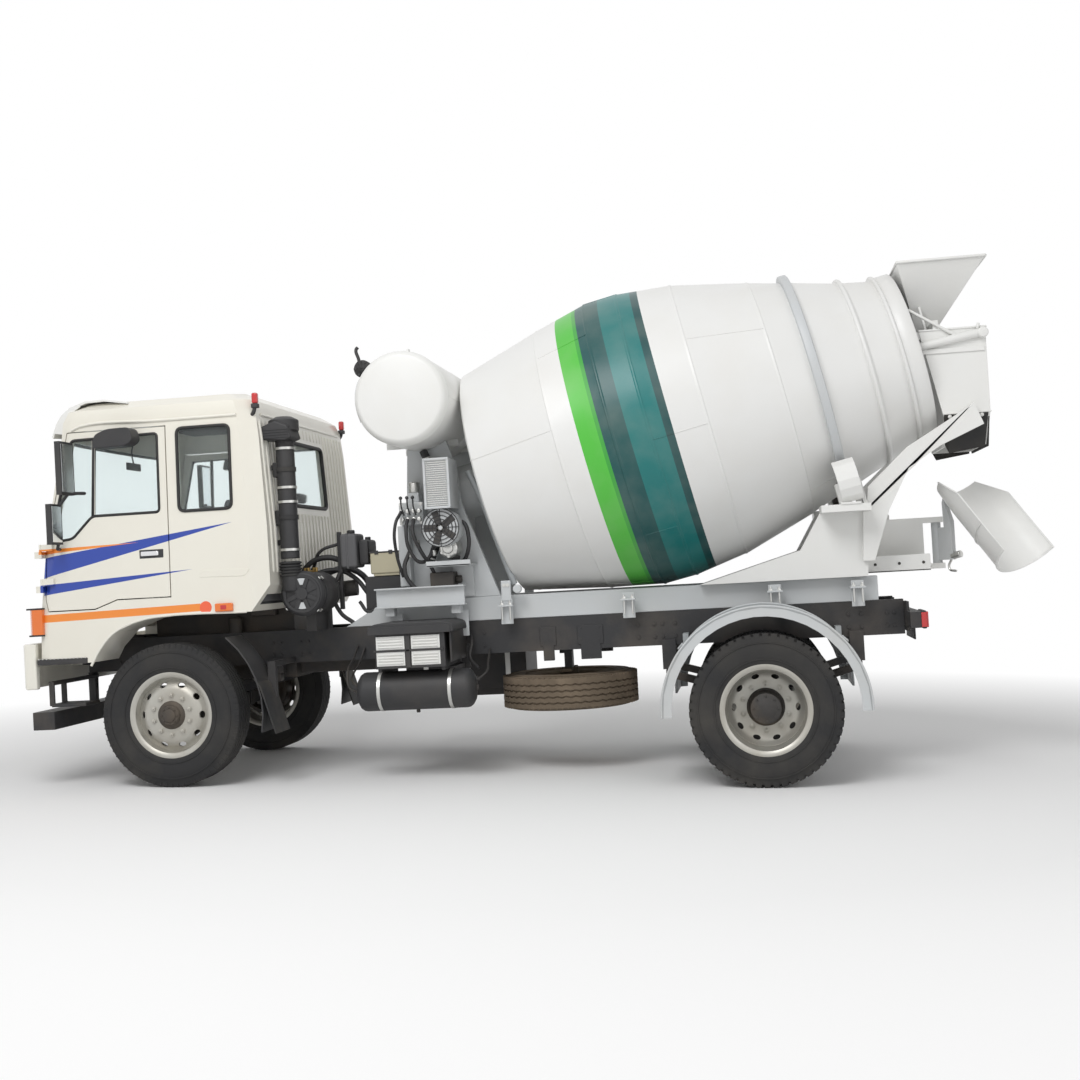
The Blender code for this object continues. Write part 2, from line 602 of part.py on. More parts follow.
def wall_prism(outline, wall):
    """An outline pushed through one wall of the cab: left, right, front or rear."""
    if wall in ("left", "right"):
        low, high = (0.900, 1.400) if wall == "left" else (-1.400, -0.900)
        return prism(list(outline), "X", low, high)
    low, high = (-1.300, -0.400) if wall == "front" else (0.500, 1.000)
    return prism(list(outline), "Y", low, high)


def cab_glass(name, outline, wall, origin=(0.0, 0.0, 0.0)):
    """A pane that follows the cab's skin inside its opening."""
    sheet = cut(cab_outer(0.018), cab_outer(0.018 + GLASS))
    pane = common(sheet, wall_prism(shrunk(list(outline), SEAT), wall))
    node(name, pane, "window_glass", origin)


HINGE_X = 1.185
HINGE_Y = -0.893
HINGE_HALF = 0.050


def hinge_half(sign, z, reach, root_x):
    """Half of a door hinge: a pin length on the hinge axis with its leaf."""
    pin = rod((sign * HINGE_X, HINGE_Y, z), (sign * HINGE_X, HINGE_Y, z + HINGE_HALF), 0.010, 10)
    xs = sorted((sign * root_x, sign * (HINGE_X + 0.004)))
    ys = sorted((HINGE_Y, HINGE_Y + reach))
    return join(pin, block(xs, ys, (z + 0.001, z + HINGE_HALF - 0.001)))


def build_cab():
    """The shell with its openings, then the doors, the panes and what is inside."""
    under = [(-0.550, 0.700), (-0.550, 0.900), (-0.480, 1.020), (-0.360, 1.140), (-0.160, 1.215), (0.000, CAB_FLOOR),
             (0.680, CAB_FLOOR), (0.830, 1.470), (1.000, 1.470), (1.000, 0.700)]
    shell = cut(cab_outer(), cab_inside(), prism(under, "X", -1.300, 1.300), floor_tunnel(),
                block((-STEP_WELL_INNER, STEP_WELL_INNER), (-1.300, 1.000), (0.700, 1.120)),
                block((-STEP_WELL_INNER, STEP_WELL_INNER), (-0.930, 1.000), (0.700, CAB_FLOOR)),
                block((0.800, 1.125), (-0.930, -0.620), (0.800, 1.190)),
                block((-1.125, -0.800), (-0.930, -0.620), (0.800, 1.190)),
                rod((0.350, *CAB_PIVOT), (0.440, *CAB_PIVOT), 0.052, 16),
                rod((-0.440, *CAB_PIVOT), (-0.350, *CAB_PIVOT), 0.052, 16),
                wall_prism(SIDE_WINDOW, "left"), wall_prism(SIDE_WINDOW, "right"),
                wall_prism(FRONT_WINDOW, "front"), wall_prism(REAR_WINDOW, "rear"),
                wall_prism(shrunk(list(DOOR_OUTLINE), -DOOR_GAP), "left"),
                wall_prism(shrunk(list(DOOR_OUTLINE), -DOOR_GAP), "right"))
    doors = {}
    for side in ("left", "right"):
        wall = cut(cab_outer(), cab_inside())
        bar = common(cut(cab_outer(), cab_outer(0.016)), wall_prism(QUARTER_LIGHT_BAR, side))
        doors[side] = join(cut(common(wall, wall_prism(DOOR_OUTLINE, side)), wall_prism(DOOR_WINDOW, side)), bar)
    tube = rod((SEAT - 0.360, *CAB_PIVOT), (0.360 - SEAT, *CAB_PIVOT), 0.025, 12)
    lug = block((-0.250, 0.250), (-0.985, CAB_PIVOT_Y), (CAB_PIVOT_Z - 0.010, 1.200))
    pivot = (0.0, CAB_PIVOT_Y, CAB_PIVOT_Z)
    cab_hinges = []
    for sign in (1.0, -1.0):
        for z in (1.450, 1.700):
            cab_hinges.append(hinge_half(sign, z, -0.045, 1.090))
            name = "left" if sign > 0.0 else "right"
            doors[name] = join(doors[name], hinge_half(sign, z + HINGE_HALF + SEAT, 0.093, 1.142))
    node("cab_shell", join(shell, tube, lug, *cab_hinges), "cab_ivory", pivot)
    for side, sign in (("left", 1.0), ("right", -1.0)):
        hinge = (sign * HINGE_X, HINGE_Y, 1.375)
        node("door_" + side, doors[side], "cab_ivory", hinge)
        cab_glass("door_glass_" + side, DOOR_WINDOW, side, hinge)
        cab_glass("side_glass_" + side, SIDE_WINDOW, side, pivot)
    cab_glass("windscreen", FRONT_WINDOW, "front", pivot)
    cab_glass("rear_glass", REAR_WINDOW, "rear", pivot)

    floor = INSIDE_LEVELS[0] + SEAT
    node("dashboard", block((-0.950, 0.950), (-0.830, -0.460), (1.495 + SEAT, 1.700)), "moulded_black", pivot)
    seat = [(-0.150, floor), (-0.150, 1.640), (0.330, 1.640), (0.430, 2.200), (0.540, 2.200), (0.460, floor)]
    both_sides("seat", prism(seat, "X", 0.440, 0.900), "seat_fabric", pivot)
    hub = Vector((-0.600, -0.480, 1.800))
    wheel_axis = Vector((0.0, 0.45, 1.0)).normalized()
    rim = turned(arc((0.0, 0.215), 0.016, 0.0, 315.0, 7), hub, wheel_axis, 20, closed_run=True)
    spokes = [rod(hub - Vector((0.205, 0, 0)), hub + Vector((0.205, 0, 0)), 0.014, 8),
              turned([(-0.0955, 0.0), (-0.0955, 0.030), (0.012, 0.045), (0.012, 0.0)], hub, wheel_axis, 12)]
    node("steering_wheel", join(rim, *spokes), "moulded_black", hub)

    pipe = turned([(0.0, 0.0), (0.0, 0.068), (0.930, 0.068), (0.930, 0.110), (1.010, 0.110), (1.035, 0.060),
                   (1.035, 0.0)], (0.860, 0.880, SNORKEL_FOOT), (0.0, 0.0, 1.0), 16)
    clamp = [block((0.850, 0.870), (0.7915, 0.860), (z, z + 0.040)) for z in (1.700,)]
    clamp.append(block((0.850, 0.870), (0.770, 0.860), (2.250, 2.290)))
    wall = cab_outer(-SEAT)
    node("snorkel", cut(join(pipe, *clamp), wall), "moulded_black", pivot, True)

    high = block((1.190, 1.390), (-0.640, -0.600), (2.140, 2.520))
    low = block((1.210, 1.370), (-0.740, -0.700), (1.790, 2.080))
    stem = [rod(a, b, 0.012, 8) for a, b in (((1.240, -0.620, 2.160), (1.240, -0.720, 2.050)),
                                             ((1.240, -0.720, 1.800), (1.240, -0.730, 1.755)),
                                             ((1.240, -0.730, 1.760), (1.050, -0.790, 1.760)),
                                             ((1.240, -0.620, 2.155), (1.050, -0.495, 2.155)))]
    for sign, side in ((1.0, "left"), (-1.0, "right")):
        mirror = cut(join(copy_of(high), copy_of(low), *[copy_of(piece) for piece in stem]), cab_outer(-SEAT))
        if side == "right":
            left_shape, mirror = mirror, mirrored(mirror)
            bpy.data.objects.remove(left_shape, do_unlink=True)
        node("mirror_" + side, mirror, "moulded_black", (sign * HINGE_X, HINGE_Y, 1.375))
    for piece in [high, low] + stem:
        bpy.data.objects.remove(piece, do_unlink=True)


# ---------------------------------------------------------------- mixer
ALONG = Vector((0.0, math.cos(DRUM_TILT), math.sin(DRUM_TILT)))
ACROSS = Vector((0.0, -math.sin(DRUM_TILT), math.cos(DRUM_TILT)))
DRUM_START = Vector((0.0, DRUM_Y, DRUM_Z))
# (distance along the axis, radius) of the drum's skin
DRUM_SKIN = ((DRUM_HEAD_S, 0.620), (0.100, 0.861), (0.750, 1.025), (1.150, 1.110), (1.400, 1.110), (1.800, 1.055),
             (2.350, 0.903), (2.575, 0.830))
DRUM_TAIL = ((2.645, 0.812), (2.970, 0.705), (2.970, 0.730), (3.000, 0.730), (3.000, 0.698), (3.230, 0.640),
             (3.230, 0.660), (3.360, 0.660), (3.360, 0.600))


def on_axis(s):
    return DRUM_START + ALONG * s


def roller_place(side):
    reach = TRACK_RADIUS + ROLLER_RADIUS + SEAT
    return (on_axis(TRACK_S) + Vector((side * reach * math.cos(ROLLER_ANGLE), 0.0, 0.0))
            - ACROSS * (reach * math.sin(ROLLER_ANGLE)))


def build_drum():
    """The drum as one open shell with its track ring, and the gearbox that turns it."""
    ring = [(TRACK_S - TRACK_HALF, TRACK_RADIUS), (TRACK_S + TRACK_HALF, TRACK_RADIUS)]
    outside = [(DRUM_HEAD_S, 0.0)] + list(DRUM_SKIN) + ring + list(DRUM_TAIL)
    inside = [(s, r - DRUM_WALL) for s, r in reversed(DRUM_SKIN[1:])]
    inside = [(3.240, 0.600), (3.000, 0.686)] + inside
    inside[-1] = (0.115, 0.845)
    inside += [(DRUM_HEAD_S + 0.015, 0.620), (DRUM_HEAD_S + 0.015, 0.0)]
    node("drum", turned(outside + inside, DRUM_START, ALONG, 30), "mixer_white", DRUM_START, True)
    box = turned([(-0.320, 0.0), (-0.320, 0.170), (-0.280, GEARBOX_RADIUS), (DRUM_HEAD_S - SEAT, GEARBOX_RADIUS),
                  (DRUM_HEAD_S - SEAT, 0.0)], DRUM_START, ALONG, 20)
    node("drum_gearbox", box, "frame_grey", smooth=True)
    for side, name in ((1.0, "left"), (-1.0, "right")):
        place = roller_place(side)
        half = ROLLER_HALF
        profile = [(-half - 0.015, 0.0), (-half - 0.015, 0.030), (-half, 0.030), (-half, ROLLER_RADIUS),
                   (half, ROLLER_RADIUS), (half, 0.030), (half + 0.015, 0.030), (half + 0.015, 0.0)]
        node("roller_" + name, turned(profile, place, ALONG, 20), "cast_iron", place, True)


def build_mixer_frame():
    """Subframe, the two pedestals, water tank and oil cooler."""
    z0 = RAIL_TOP + SEAT
    side = [(SUBFRAME_FRONT, z0), (1.450, SUBFRAME_TOP), (SUBFRAME_REAR, SUBFRAME_TOP), (SUBFRAME_REAR, z0)]
    rails = [prism(side, "X", SUBFRAME_INNER, SUBFRAME_OUTER), prism(side, "X", -SUBFRAME_OUTER, -SUBFRAME_INNER)]
    ties = [block((-0.400, 0.400), (y, y + 0.100), (z0 + 0.040, SUBFRAME_TOP - 0.030)) for y in (1.700, 3.300, 4.850)]
    node("mixer_subframe", join(rails[0], rails[1], *ties), "frame_grey")

    foot = SUBFRAME_TOP + SEAT
    cheek = [(1.620, foot), (2.340, foot), (2.080, 1.950), (2.060, 2.200), (1.990, 2.420), (1.690, 2.420), (1.660, 1.950)]
    cheeks = [prism(cheek, "X", 0.385, 0.425), prism(cheek, "X", -0.425, -0.385)]
    cross = block((-0.400, 0.400), (1.780, 2.020), (1.700, 1.900))
    tank_room = turned([(-1.2, 0.0), (-1.2, TANK_RADIUS + SEAT), (1.2, TANK_RADIUS + SEAT), (1.2, 0.0)],
                       (0.0, TANK_Y, TANK_Z), (1.0, 0.0, 0.0), 32)
    seat = GEARBOX_RADIUS + SEAT
    box_room = turned([(-0.5, 0.0), (-0.5, seat), (0.2, seat), (0.2, 0.0)], DRUM_START, ALONG, 20)
    cradle = block((-0.150, 0.150), (1.850, 2.010), (1.850, 1.960))
    node("front_pedestal", cut(join(cheeks[0], cheeks[1], cross, cradle), tank_room, box_room), "frame_grey")
    tank = turned([(-TANK_HALF, 0.0), (-TANK_HALF + 0.020, TANK_RADIUS - 0.030), (-TANK_HALF + 0.045, TANK_RADIUS),
                   (TANK_HALF - 0.045, TANK_RADIUS), (TANK_HALF - 0.020, TANK_RADIUS - 0.030), (TANK_HALF, 0.0)],
                  (0.0, TANK_Y, TANK_Z), (1.0, 0.0, 0.0), 32)
    node("water_tank", tank, "mixer_white", smooth=True)
    cooler = block((0.520, 0.820), (1.900, 2.080), (1.900, 2.260))
    fan = rod((0.620, 1.990, 1.760), (0.780, 1.990, 1.760), 0.140, 16)
    arm = block((0.425 + SEAT, 0.640), (1.940, 2.000), (1.740, 1.950))
    node("oil_cooler", join(cooler, fan, arm), "frame_grey")

    rear = [(3.820, foot), (5.010, foot), (5.050, 1.760), (4.720, 1.740), (4.550, 1.450)]
    brace = [(4.980, 1.350), (5.060, 1.349), (5.180, 1.700), (5.330, 1.985), (5.560, 2.130), (5.860, 2.260),
             (5.800, 2.420), (5.000, 1.700)]
    parts = []
    for sign in (1.0, -1.0):
        xs = sorted((sign * 0.410, sign * 0.520))
        parts.append(prism(rear, "X", *xs))
        parts.append(prism(brace, "X", *sorted((sign * 0.4953, sign * 0.560))))
        parts.append(block(sorted((sign * 0.430, sign * 0.780)), (4.700, 5.040), (1.700, 1.750)))
        middle = roller_place(sign)
        for step in (-1.0, 1.0):
            near = middle + ALONG * (step * (ROLLER_HALF + 0.015 + SEAT))
            far = near + ALONG * (step * 0.025)
            low = ACROSS * -0.190
            wide = Vector((0.060, 0.0, 0.0))
            corners = [-wide, wide, wide + low, low - wide]
            loops = [[tuple(end + c) for c in corners] for end in (near, far)]
            parts.append(rings(loops))
    parts.append(block((-0.430, 0.430), (4.860, 5.020), (foot + 0.020, 1.620)))
    parts.append(block((-0.060, 0.060), (5.000, CHUTE_POST_Y - 0.100), (1.260, 1.640)))
    for z in (1.260, 1.600):
        parts.append(block((-0.060, 0.060), (CHUTE_POST_Y - 0.120, CHUTE_POST_Y + 0.045), (z, z + 0.040)))
    node("rear_pedestal", join(parts[0], *parts[1:]), "mixer_white")


def funnel_loop(z, half, front, back):
    return [(half, front, z), (half, back, z), (-half, back, z), (-half, front, z)]


def build_hopper_and_chute():
    """The collector behind the mouth, the charging hopper over it and the swinging chute."""
    outer = rings([funnel_loop(2.130, 0.360, 5.610, 5.900), funnel_loop(2.350, 0.495, 5.595, 5.920),
                   funnel_loop(2.950, 0.495, 5.460, 5.920)])
    inner = rings([funnel_loop(2.100, 0.330, 5.627, 5.886), funnel_loop(2.350, 0.483, 5.607, 5.908),
                   funnel_loop(3.000, 0.483, 5.200, 5.908)])
    mouth = block((-0.483, 0.483), (5.200, 5.800), (2.240, 3.000))
    node("discharge_collector", cut(outer, inner, mouth), "mixer_white")
    top = rings([funnel_loop(2.990, 0.200, 5.480, 5.620), funnel_loop(3.470, 0.460, 5.340, 5.965)])
    bore = rings([funnel_loop(2.960, 0.176, 5.483, 5.605), funnel_loop(3.500, 0.464, 5.343, 5.990)])
    legs = [block(sorted((sign * 0.180, sign * 0.495)), (5.560, 5.600), (2.950 + SEAT, 3.020)) for sign in (1.0, -1.0)]
    node("charging_hopper", cut(join(top, *legs), bore), "mixer_white")

    post = Vector((0.0, CHUTE_POST_Y, 0.0))
    ahead = Vector((math.sin(CHUTE_HEADING), math.cos(CHUTE_HEADING), 0.0))
    across = Vector((ahead.y, -ahead.x, 0.0))
    pin = rod(post + Vector((0, 0, 1.300 + SEAT)), post + Vector((0, 0, 1.600 - SEAT)), 0.035, 14)
    arm_loop = [(0.0, 1.320), (0.150, 1.320), (0.150, 1.600), (0.104, 1.740), (0.103, CHUTE_HINGE_Z),
                (0.097, CHUTE_HINGE_Z), (0.080, 1.740), (0.085, 1.560), (0.0, 1.560)]
    arm = rings([[tuple(post + ahead * a + across * side + Vector((0, 0, z))) for a, z in arm_loop]
                 for side in (-0.020, 0.020)])
    hinge = post + ahead * 0.100 + Vector((0, 0, CHUTE_HINGE_Z))
    hinge_pin = rod(hinge - across * 0.024, hinge + across * 0.024, CHUTE_OFF_HINGE - SEAT, 12)
    node("chute_swivel", join(pin, arm, hinge_pin), "frame_grey", post + Vector((0, 0, 1.450)))
    down = ahead * math.cos(CHUTE_DIP) - Vector((0, 0, math.sin(CHUTE_DIP)))
    open_side = ahead * math.sin(CHUTE_DIP) + Vector((0, 0, math.cos(CHUTE_DIP)))
    loops = []
    for t, radius, rim in ((0.0, CHUTE_HEAD_RADIUS, 205.0), (0.220, CHUTE_RADIUS, 190.0), (CHUTE_LENGTH, CHUTE_RADIUS, 190.0)):
        section = (arc((0.0, 0.0), radius, rim, 540.0 - rim, 10)
                   + arc((0.0, 0.0), radius - CHUTE_WALL, 540.0 - rim, rim, 10))
        start = hinge + down * t + open_side * (radius + CHUTE_OFF_HINGE)
        loops.append([tuple(start + across * a + open_side * b) for a, b in section])
    node("discharge_chute", rings(loops), "mixer_white", hinge)


build_wheels()
build_axles()
build_chassis()
build_chassis_fittings()
build_cab()
build_drum()
build_mixer_frame()
build_hopper_and_chute()
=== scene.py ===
# %% [markdown]
# # A concrete mixer truck, finished for a studio picture
# The solid pieces come from the frame. This lesson adds the paint, the fine
# pieces, the light and the camera. Everything is in metres, +Z is up, the truck
# faces -Y and its left side is +X.

# %% Load the frame
import json
import math
import bpy
from mathutils import Matrix, Vector


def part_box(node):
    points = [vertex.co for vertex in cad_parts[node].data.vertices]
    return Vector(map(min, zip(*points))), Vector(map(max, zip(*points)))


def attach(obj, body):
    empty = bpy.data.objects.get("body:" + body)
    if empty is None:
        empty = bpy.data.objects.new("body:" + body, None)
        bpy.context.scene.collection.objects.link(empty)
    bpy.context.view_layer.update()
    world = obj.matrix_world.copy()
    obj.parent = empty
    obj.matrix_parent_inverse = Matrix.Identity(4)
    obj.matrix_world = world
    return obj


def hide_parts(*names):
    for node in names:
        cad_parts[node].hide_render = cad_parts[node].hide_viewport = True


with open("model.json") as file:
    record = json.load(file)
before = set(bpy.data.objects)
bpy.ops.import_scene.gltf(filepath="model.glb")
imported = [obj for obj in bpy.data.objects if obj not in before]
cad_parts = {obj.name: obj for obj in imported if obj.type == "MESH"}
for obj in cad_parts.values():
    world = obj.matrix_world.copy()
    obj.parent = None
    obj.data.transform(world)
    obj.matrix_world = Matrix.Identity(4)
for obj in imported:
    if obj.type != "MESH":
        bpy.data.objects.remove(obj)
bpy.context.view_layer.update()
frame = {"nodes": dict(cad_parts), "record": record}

nodes = frame["nodes"]

# %% [markdown]
# ## The leaning chassis
# The truck stands nose-down on its springs, so its own level frame is turned
# about the front axle. `level` turns a point of that frame into the world, and
# `settle` does the same to a finished piece, so each piece can be drawn level.

# %% The chassis frame
RAKE = math.radians(1.75)
AXLE_HEIGHT = 0.522 * math.cos(math.pi / 24)
ORIGIN_BEHIND_AXLE = 2.573
LEAN = (Matrix.Translation((0.0, -ORIGIN_BEHIND_AXLE, AXLE_HEIGHT)) @ Matrix.Rotation(RAKE, 4, "X")
        @ Matrix.Translation((0.0, 0.0, -AXLE_HEIGHT)))


def level(x, y, z):
    return LEAN @ Vector((x, y, z))


def settle(piece, body, material, shade=None):
    """Lean a level piece, give it its finish and let it ride on its body."""
    piece.data.transform(LEAN @ piece.matrix_world)
    piece.matrix_world = Matrix.Identity(4)
    piece.data.materials.clear()
    piece.data.materials.append(material)
    if shade:
        deselect()
        piece.select_set(True)
        bpy.context.view_layer.objects.active = piece
        bpy.ops.object.shade_smooth_by_angle(angle=math.radians(shade))
    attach(piece, body)
    return piece


def deselect():
    if bpy.context.object and bpy.context.object.mode != "OBJECT":
        bpy.ops.object.mode_set(mode="OBJECT")
    bpy.ops.object.select_all(action="DESELECT")


print("front axle at", tuple(round(v, 3) for v in level(0.0, 0.0, AXLE_HEIGHT)))

# %% [markdown]
# ## Paint
# Real paint is never one flat colour: it has road dust low down, faint
# unevenness and small waves in the sheet metal. One helper mixes a base colour
# with a dust colour by a noise pattern and by height.

# %% A helper for worked finishes


def worked(name, colour, dust, roughness, metallic=0.0, scale=3.0, dusty=0.25, bump=0.02, fine=60.0, coat=0.0):
    """Base colour broken by noise and dust, with a rough and a bump that follow."""
    made = bpy.data.materials.new(name)
    made.use_nodes = True
    tree = made.node_tree
    shader = tree.nodes["Principled BSDF"]
    place = tree.nodes.new("ShaderNodeTexCoord")
    broad = tree.nodes.new("ShaderNodeTexNoise")
    broad.inputs["Scale"].default_value = scale
    broad.inputs["Detail"].default_value = 5.0
    tree.links.new(place.outputs["Object"], broad.inputs["Vector"])
    split = tree.nodes.new("ShaderNodeSeparateXYZ")
    tree.links.new(place.outputs["Object"], split.inputs[0])
    low = tree.nodes.new("ShaderNodeMapRange")
    low.inputs["From Min"].default_value = 1.3
    low.inputs["From Max"].default_value = 0.0
    tree.links.new(split.outputs["Z"], low.inputs["Value"])
    patch = tree.nodes.new("ShaderNodeMapRange")
    patch.inputs["From Min"].default_value = 0.42
    patch.inputs["From Max"].default_value = 0.75
    tree.links.new(broad.outputs["Fac"], patch.inputs["Value"])
    both = tree.nodes.new("ShaderNodeMath")
    both.operation = "MULTIPLY_ADD"
    both.inputs[2].default_value = 0.0
    tree.links.new(patch.outputs[0], both.inputs[0])
    gain = tree.nodes.new("ShaderNodeMath")
    gain.operation = "MULTIPLY_ADD"
    gain.inputs[1].default_value = dusty
    gain.inputs[2].default_value = dusty * 0.5
    tree.links.new(low.outputs[0], gain.inputs[0])
    tree.links.new(gain.outputs[0], both.inputs[1])
    mix = tree.nodes.new("ShaderNodeMix")
    mix.data_type = "RGBA"
    mix.inputs[6].default_value = (*colour, 1.0)
    mix.inputs[7].default_value = (*dust, 1.0)
    tree.links.new(both.outputs[0], mix.inputs[0])
    tree.links.new(mix.outputs[2], shader.inputs["Base Color"])
    rough = tree.nodes.new("ShaderNodeMapRange")
    rough.inputs["To Min"].default_value = max(roughness - 0.08, 0.02)
    rough.inputs["To Max"].default_value = min(roughness + 0.15, 1.0)
    tree.links.new(broad.outputs["Fac"], rough.inputs["Value"])
    tree.links.new(rough.outputs[0], shader.inputs["Roughness"])
    grain = tree.nodes.new("ShaderNodeTexNoise")
    grain.inputs["Scale"].default_value = fine
    grain.inputs["Detail"].default_value = 3.0
    tree.links.new(place.outputs["Object"], grain.inputs["Vector"])
    relief = tree.nodes.new("ShaderNodeBump")
    relief.inputs["Strength"].default_value = bump * 5.0
    relief.inputs["Distance"].default_value = 0.004
    tree.links.new(grain.outputs["Fac"], relief.inputs["Height"])
    tree.links.new(relief.outputs["Normal"], shader.inputs["Normal"])
    shader.inputs["Metallic"].default_value = metallic
    shader.inputs["Coat Weight"].default_value = coat
    return made


ivory = worked("ivory paint", (0.83, 0.81, 0.73), (0.70, 0.66, 0.56), 0.30, dusty=0.20, bump=0.004, coat=0.4)
mixer_white = worked("mixer white", (0.80, 0.80, 0.78), (0.66, 0.63, 0.56), 0.38, dusty=0.25, bump=0.006)
frame_grey = worked("light grey paint", (0.56, 0.58, 0.59), (0.52, 0.48, 0.42), 0.42, dusty=0.3, bump=0.01)
chassis_black = worked("chassis black", (0.022, 0.022, 0.024), (0.20, 0.16, 0.12), 0.50, dusty=0.35, bump=0.03)
tyre_black = worked("tyre rubber", (0.020, 0.020, 0.021), (0.11, 0.10, 0.085), 0.80, dusty=0.35, bump=0.05, fine=140.0)
old_tyre = worked("dusty spare rubber", (0.15, 0.115, 0.08), (0.36, 0.28, 0.20), 0.90, dusty=0.9, bump=0.06, fine=120.0)
rim_silver = worked("silver rim paint", (0.48, 0.47, 0.43), (0.30, 0.26, 0.20), 0.38, 0.55, dusty=0.5, bump=0.02)
cast = worked("dark casting", (0.055, 0.052, 0.050), (0.20, 0.15, 0.10), 0.60, 0.4, dusty=0.5, bump=0.06)
black_plastic = worked("black moulding", (0.028, 0.028, 0.030), (0.16, 0.14, 0.12), 0.55, dusty=0.25, bump=0.02)
seat_cloth = worked("seat cloth", (0.10, 0.10, 0.11), (0.20, 0.19, 0.18), 0.95, dusty=0.2, bump=0.1, fine=400.0)
guard_grey = worked("guard grey", (0.36, 0.38, 0.39), (0.40, 0.36, 0.30), 0.45, 0.15, dusty=0.3, bump=0.01)
print("worked finishes:", len(bpy.data.materials))

# %% [markdown]
# ## Glass and the banded drum
# Cab glass is thin and nearly clear. The drum's bands run round its tilted
# axis, so the colour is chosen by how far along that axis a point lies.

# %% Glass and drum paint
glass = worked("cab glass", (0.90, 0.95, 0.95), (0.60, 0.62, 0.60), 0.04, dusty=0.1, bump=0.0)
glass.node_tree.nodes["Principled BSDF"].inputs["Transmission Weight"].default_value = 0.96
glass.node_tree.nodes["Principled BSDF"].inputs["IOR"].default_value = 1.05

DRUM_TILT = math.radians(12.7)
DRUM_START = level(0.0, 2.180, 2.083)
DRUM_AXIS = (LEAN.to_3x3() @ Vector((0.0, math.cos(DRUM_TILT), math.sin(DRUM_TILT)))).normalized()
# (distance along the axis where it starts, colour)
BANDS = ((-1.0, (0.78, 0.78, 0.765)), (0.905, (0.085, 0.50, 0.05)), (1.045, (0.045, 0.36, 0.045)),
         (1.080, (0.004, 0.075, 0.075)), (1.250, (0.006, 0.165, 0.160)), (1.500, (0.003, 0.060, 0.062)),
         (1.545, (0.78, 0.78, 0.765)))


def banded(name):
    """Mixer paint whose colour steps along the drum's axis."""
    made = worked(name, (0.8, 0.8, 0.8), (0.62, 0.58, 0.50), 0.34, dusty=0.22, bump=0.006)
    tree = made.node_tree
    mix = next(n for n in tree.nodes if n.type == "MIX")
    place = next(n for n in tree.nodes if n.type == "TEX_COORD")
    shift = tree.nodes.new("ShaderNodeVectorMath")
    shift.operation = "SUBTRACT"
    shift.inputs[1].default_value = DRUM_START
    tree.links.new(place.outputs["Object"], shift.inputs[0])
    along = tree.nodes.new("ShaderNodeVectorMath")
    along.operation = "DOT_PRODUCT"
    along.inputs[1].default_value = DRUM_AXIS
    tree.links.new(shift.outputs[0], along.inputs[0])
    ramp = tree.nodes.new("ShaderNodeValToRGB")
    ramp.color_ramp.interpolation = "CONSTANT"
    span = 3.5
    scaled = tree.nodes.new("ShaderNodeMath")
    scaled.operation = "DIVIDE"
    scaled.inputs[1].default_value = span
    tree.links.new(along.outputs["Value"], scaled.inputs[0])
    tree.links.new(scaled.outputs[0], ramp.inputs["Fac"])
    stops = ramp.color_ramp.elements
    while len(stops) < len(BANDS):
        stops.new(0.9)
    for stop, (start, colour) in zip(stops, BANDS):
        stop.position = max(start / span, 0.0)
        stop.color = (*colour, 1.0)
    tree.links.new(ramp.outputs["Color"], mix.inputs[6])
    return made


drum_paint = banded("banded drum paint")

# %% [markdown]
# ## Finishes for the frame's pieces
# Each piece of the frame keeps its shape and only takes a better finish, chosen
# by the slot that its record names.

# %% Give every piece its finish
FINISH_BY_SLOT = {"cab_ivory": ivory, "mixer_white": mixer_white, "frame_grey": frame_grey, "cast_iron": cast,
                  "chassis_black": chassis_black, "rubber_black": tyre_black, "rim_silver": rim_silver,
                  "moulded_black": black_plastic, "window_glass": glass, "seat_fabric": seat_cloth,
                  "guard_grey": guard_grey}
slot_of = {row["node"]: row["material_slot"] for row in frame["record"]["subparts"]}
for name, obj in nodes.items():
    material = FINISH_BY_SLOT[slot_of[name]]
    if name == "drum":
        material = drum_paint
    if name == "spare_tyre":
        material = old_tyre
    obj.data.materials.clear()
    obj.data.materials.append(material)
print("finished", len(nodes), "pieces of the frame")

# %% [markdown]
# ## Working by hand
# The next helpers are the moves that a modeller repeats: draw a line of points
# by extruding one vertex, spin it or fill it and push it out, run a tube along
# a curve, and break the sharp edges so that they catch the light.

# %% Helpers: drawing


def edit(piece, select="SELECT"):
    """Open one piece in edit mode with all or none of it selected."""
    deselect()
    piece.select_set(True)
    bpy.context.view_layer.objects.active = piece
    bpy.ops.object.mode_set(mode="EDIT")
    bpy.ops.mesh.select_mode(type="VERT")
    bpy.ops.mesh.select_all(action=select)


def drawn_line(name, points):
    """A chain of edges: one vertex, extruded from point to point."""
    deselect()
    bpy.ops.mesh.primitive_plane_add(size=0.01, location=(0.0, 0.0, 0.0))
    piece = bpy.context.object
    piece.name = name
    bpy.ops.object.mode_set(mode="EDIT")
    bpy.ops.mesh.select_mode(type="VERT")
    bpy.ops.mesh.select_all(action="SELECT")
    bpy.ops.mesh.merge(type="CENTER")
    bpy.ops.transform.translate(value=points[0])
    for near, far in zip(points, points[1:]):
        step = Vector(far) - Vector(near)
        bpy.ops.mesh.extrude_vertices_move(TRANSFORM_OT_translate={"value": step})
    return piece


def close_up(piece, gap=1e-5):
    """Merge doubles, turn the faces outwards and leave edit mode."""
    bpy.ops.mesh.select_all(action="SELECT")
    bpy.ops.mesh.remove_doubles(threshold=gap)
    bpy.ops.mesh.normals_make_consistent(inside=False)
    bpy.ops.object.mode_set(mode="OBJECT")
    return piece


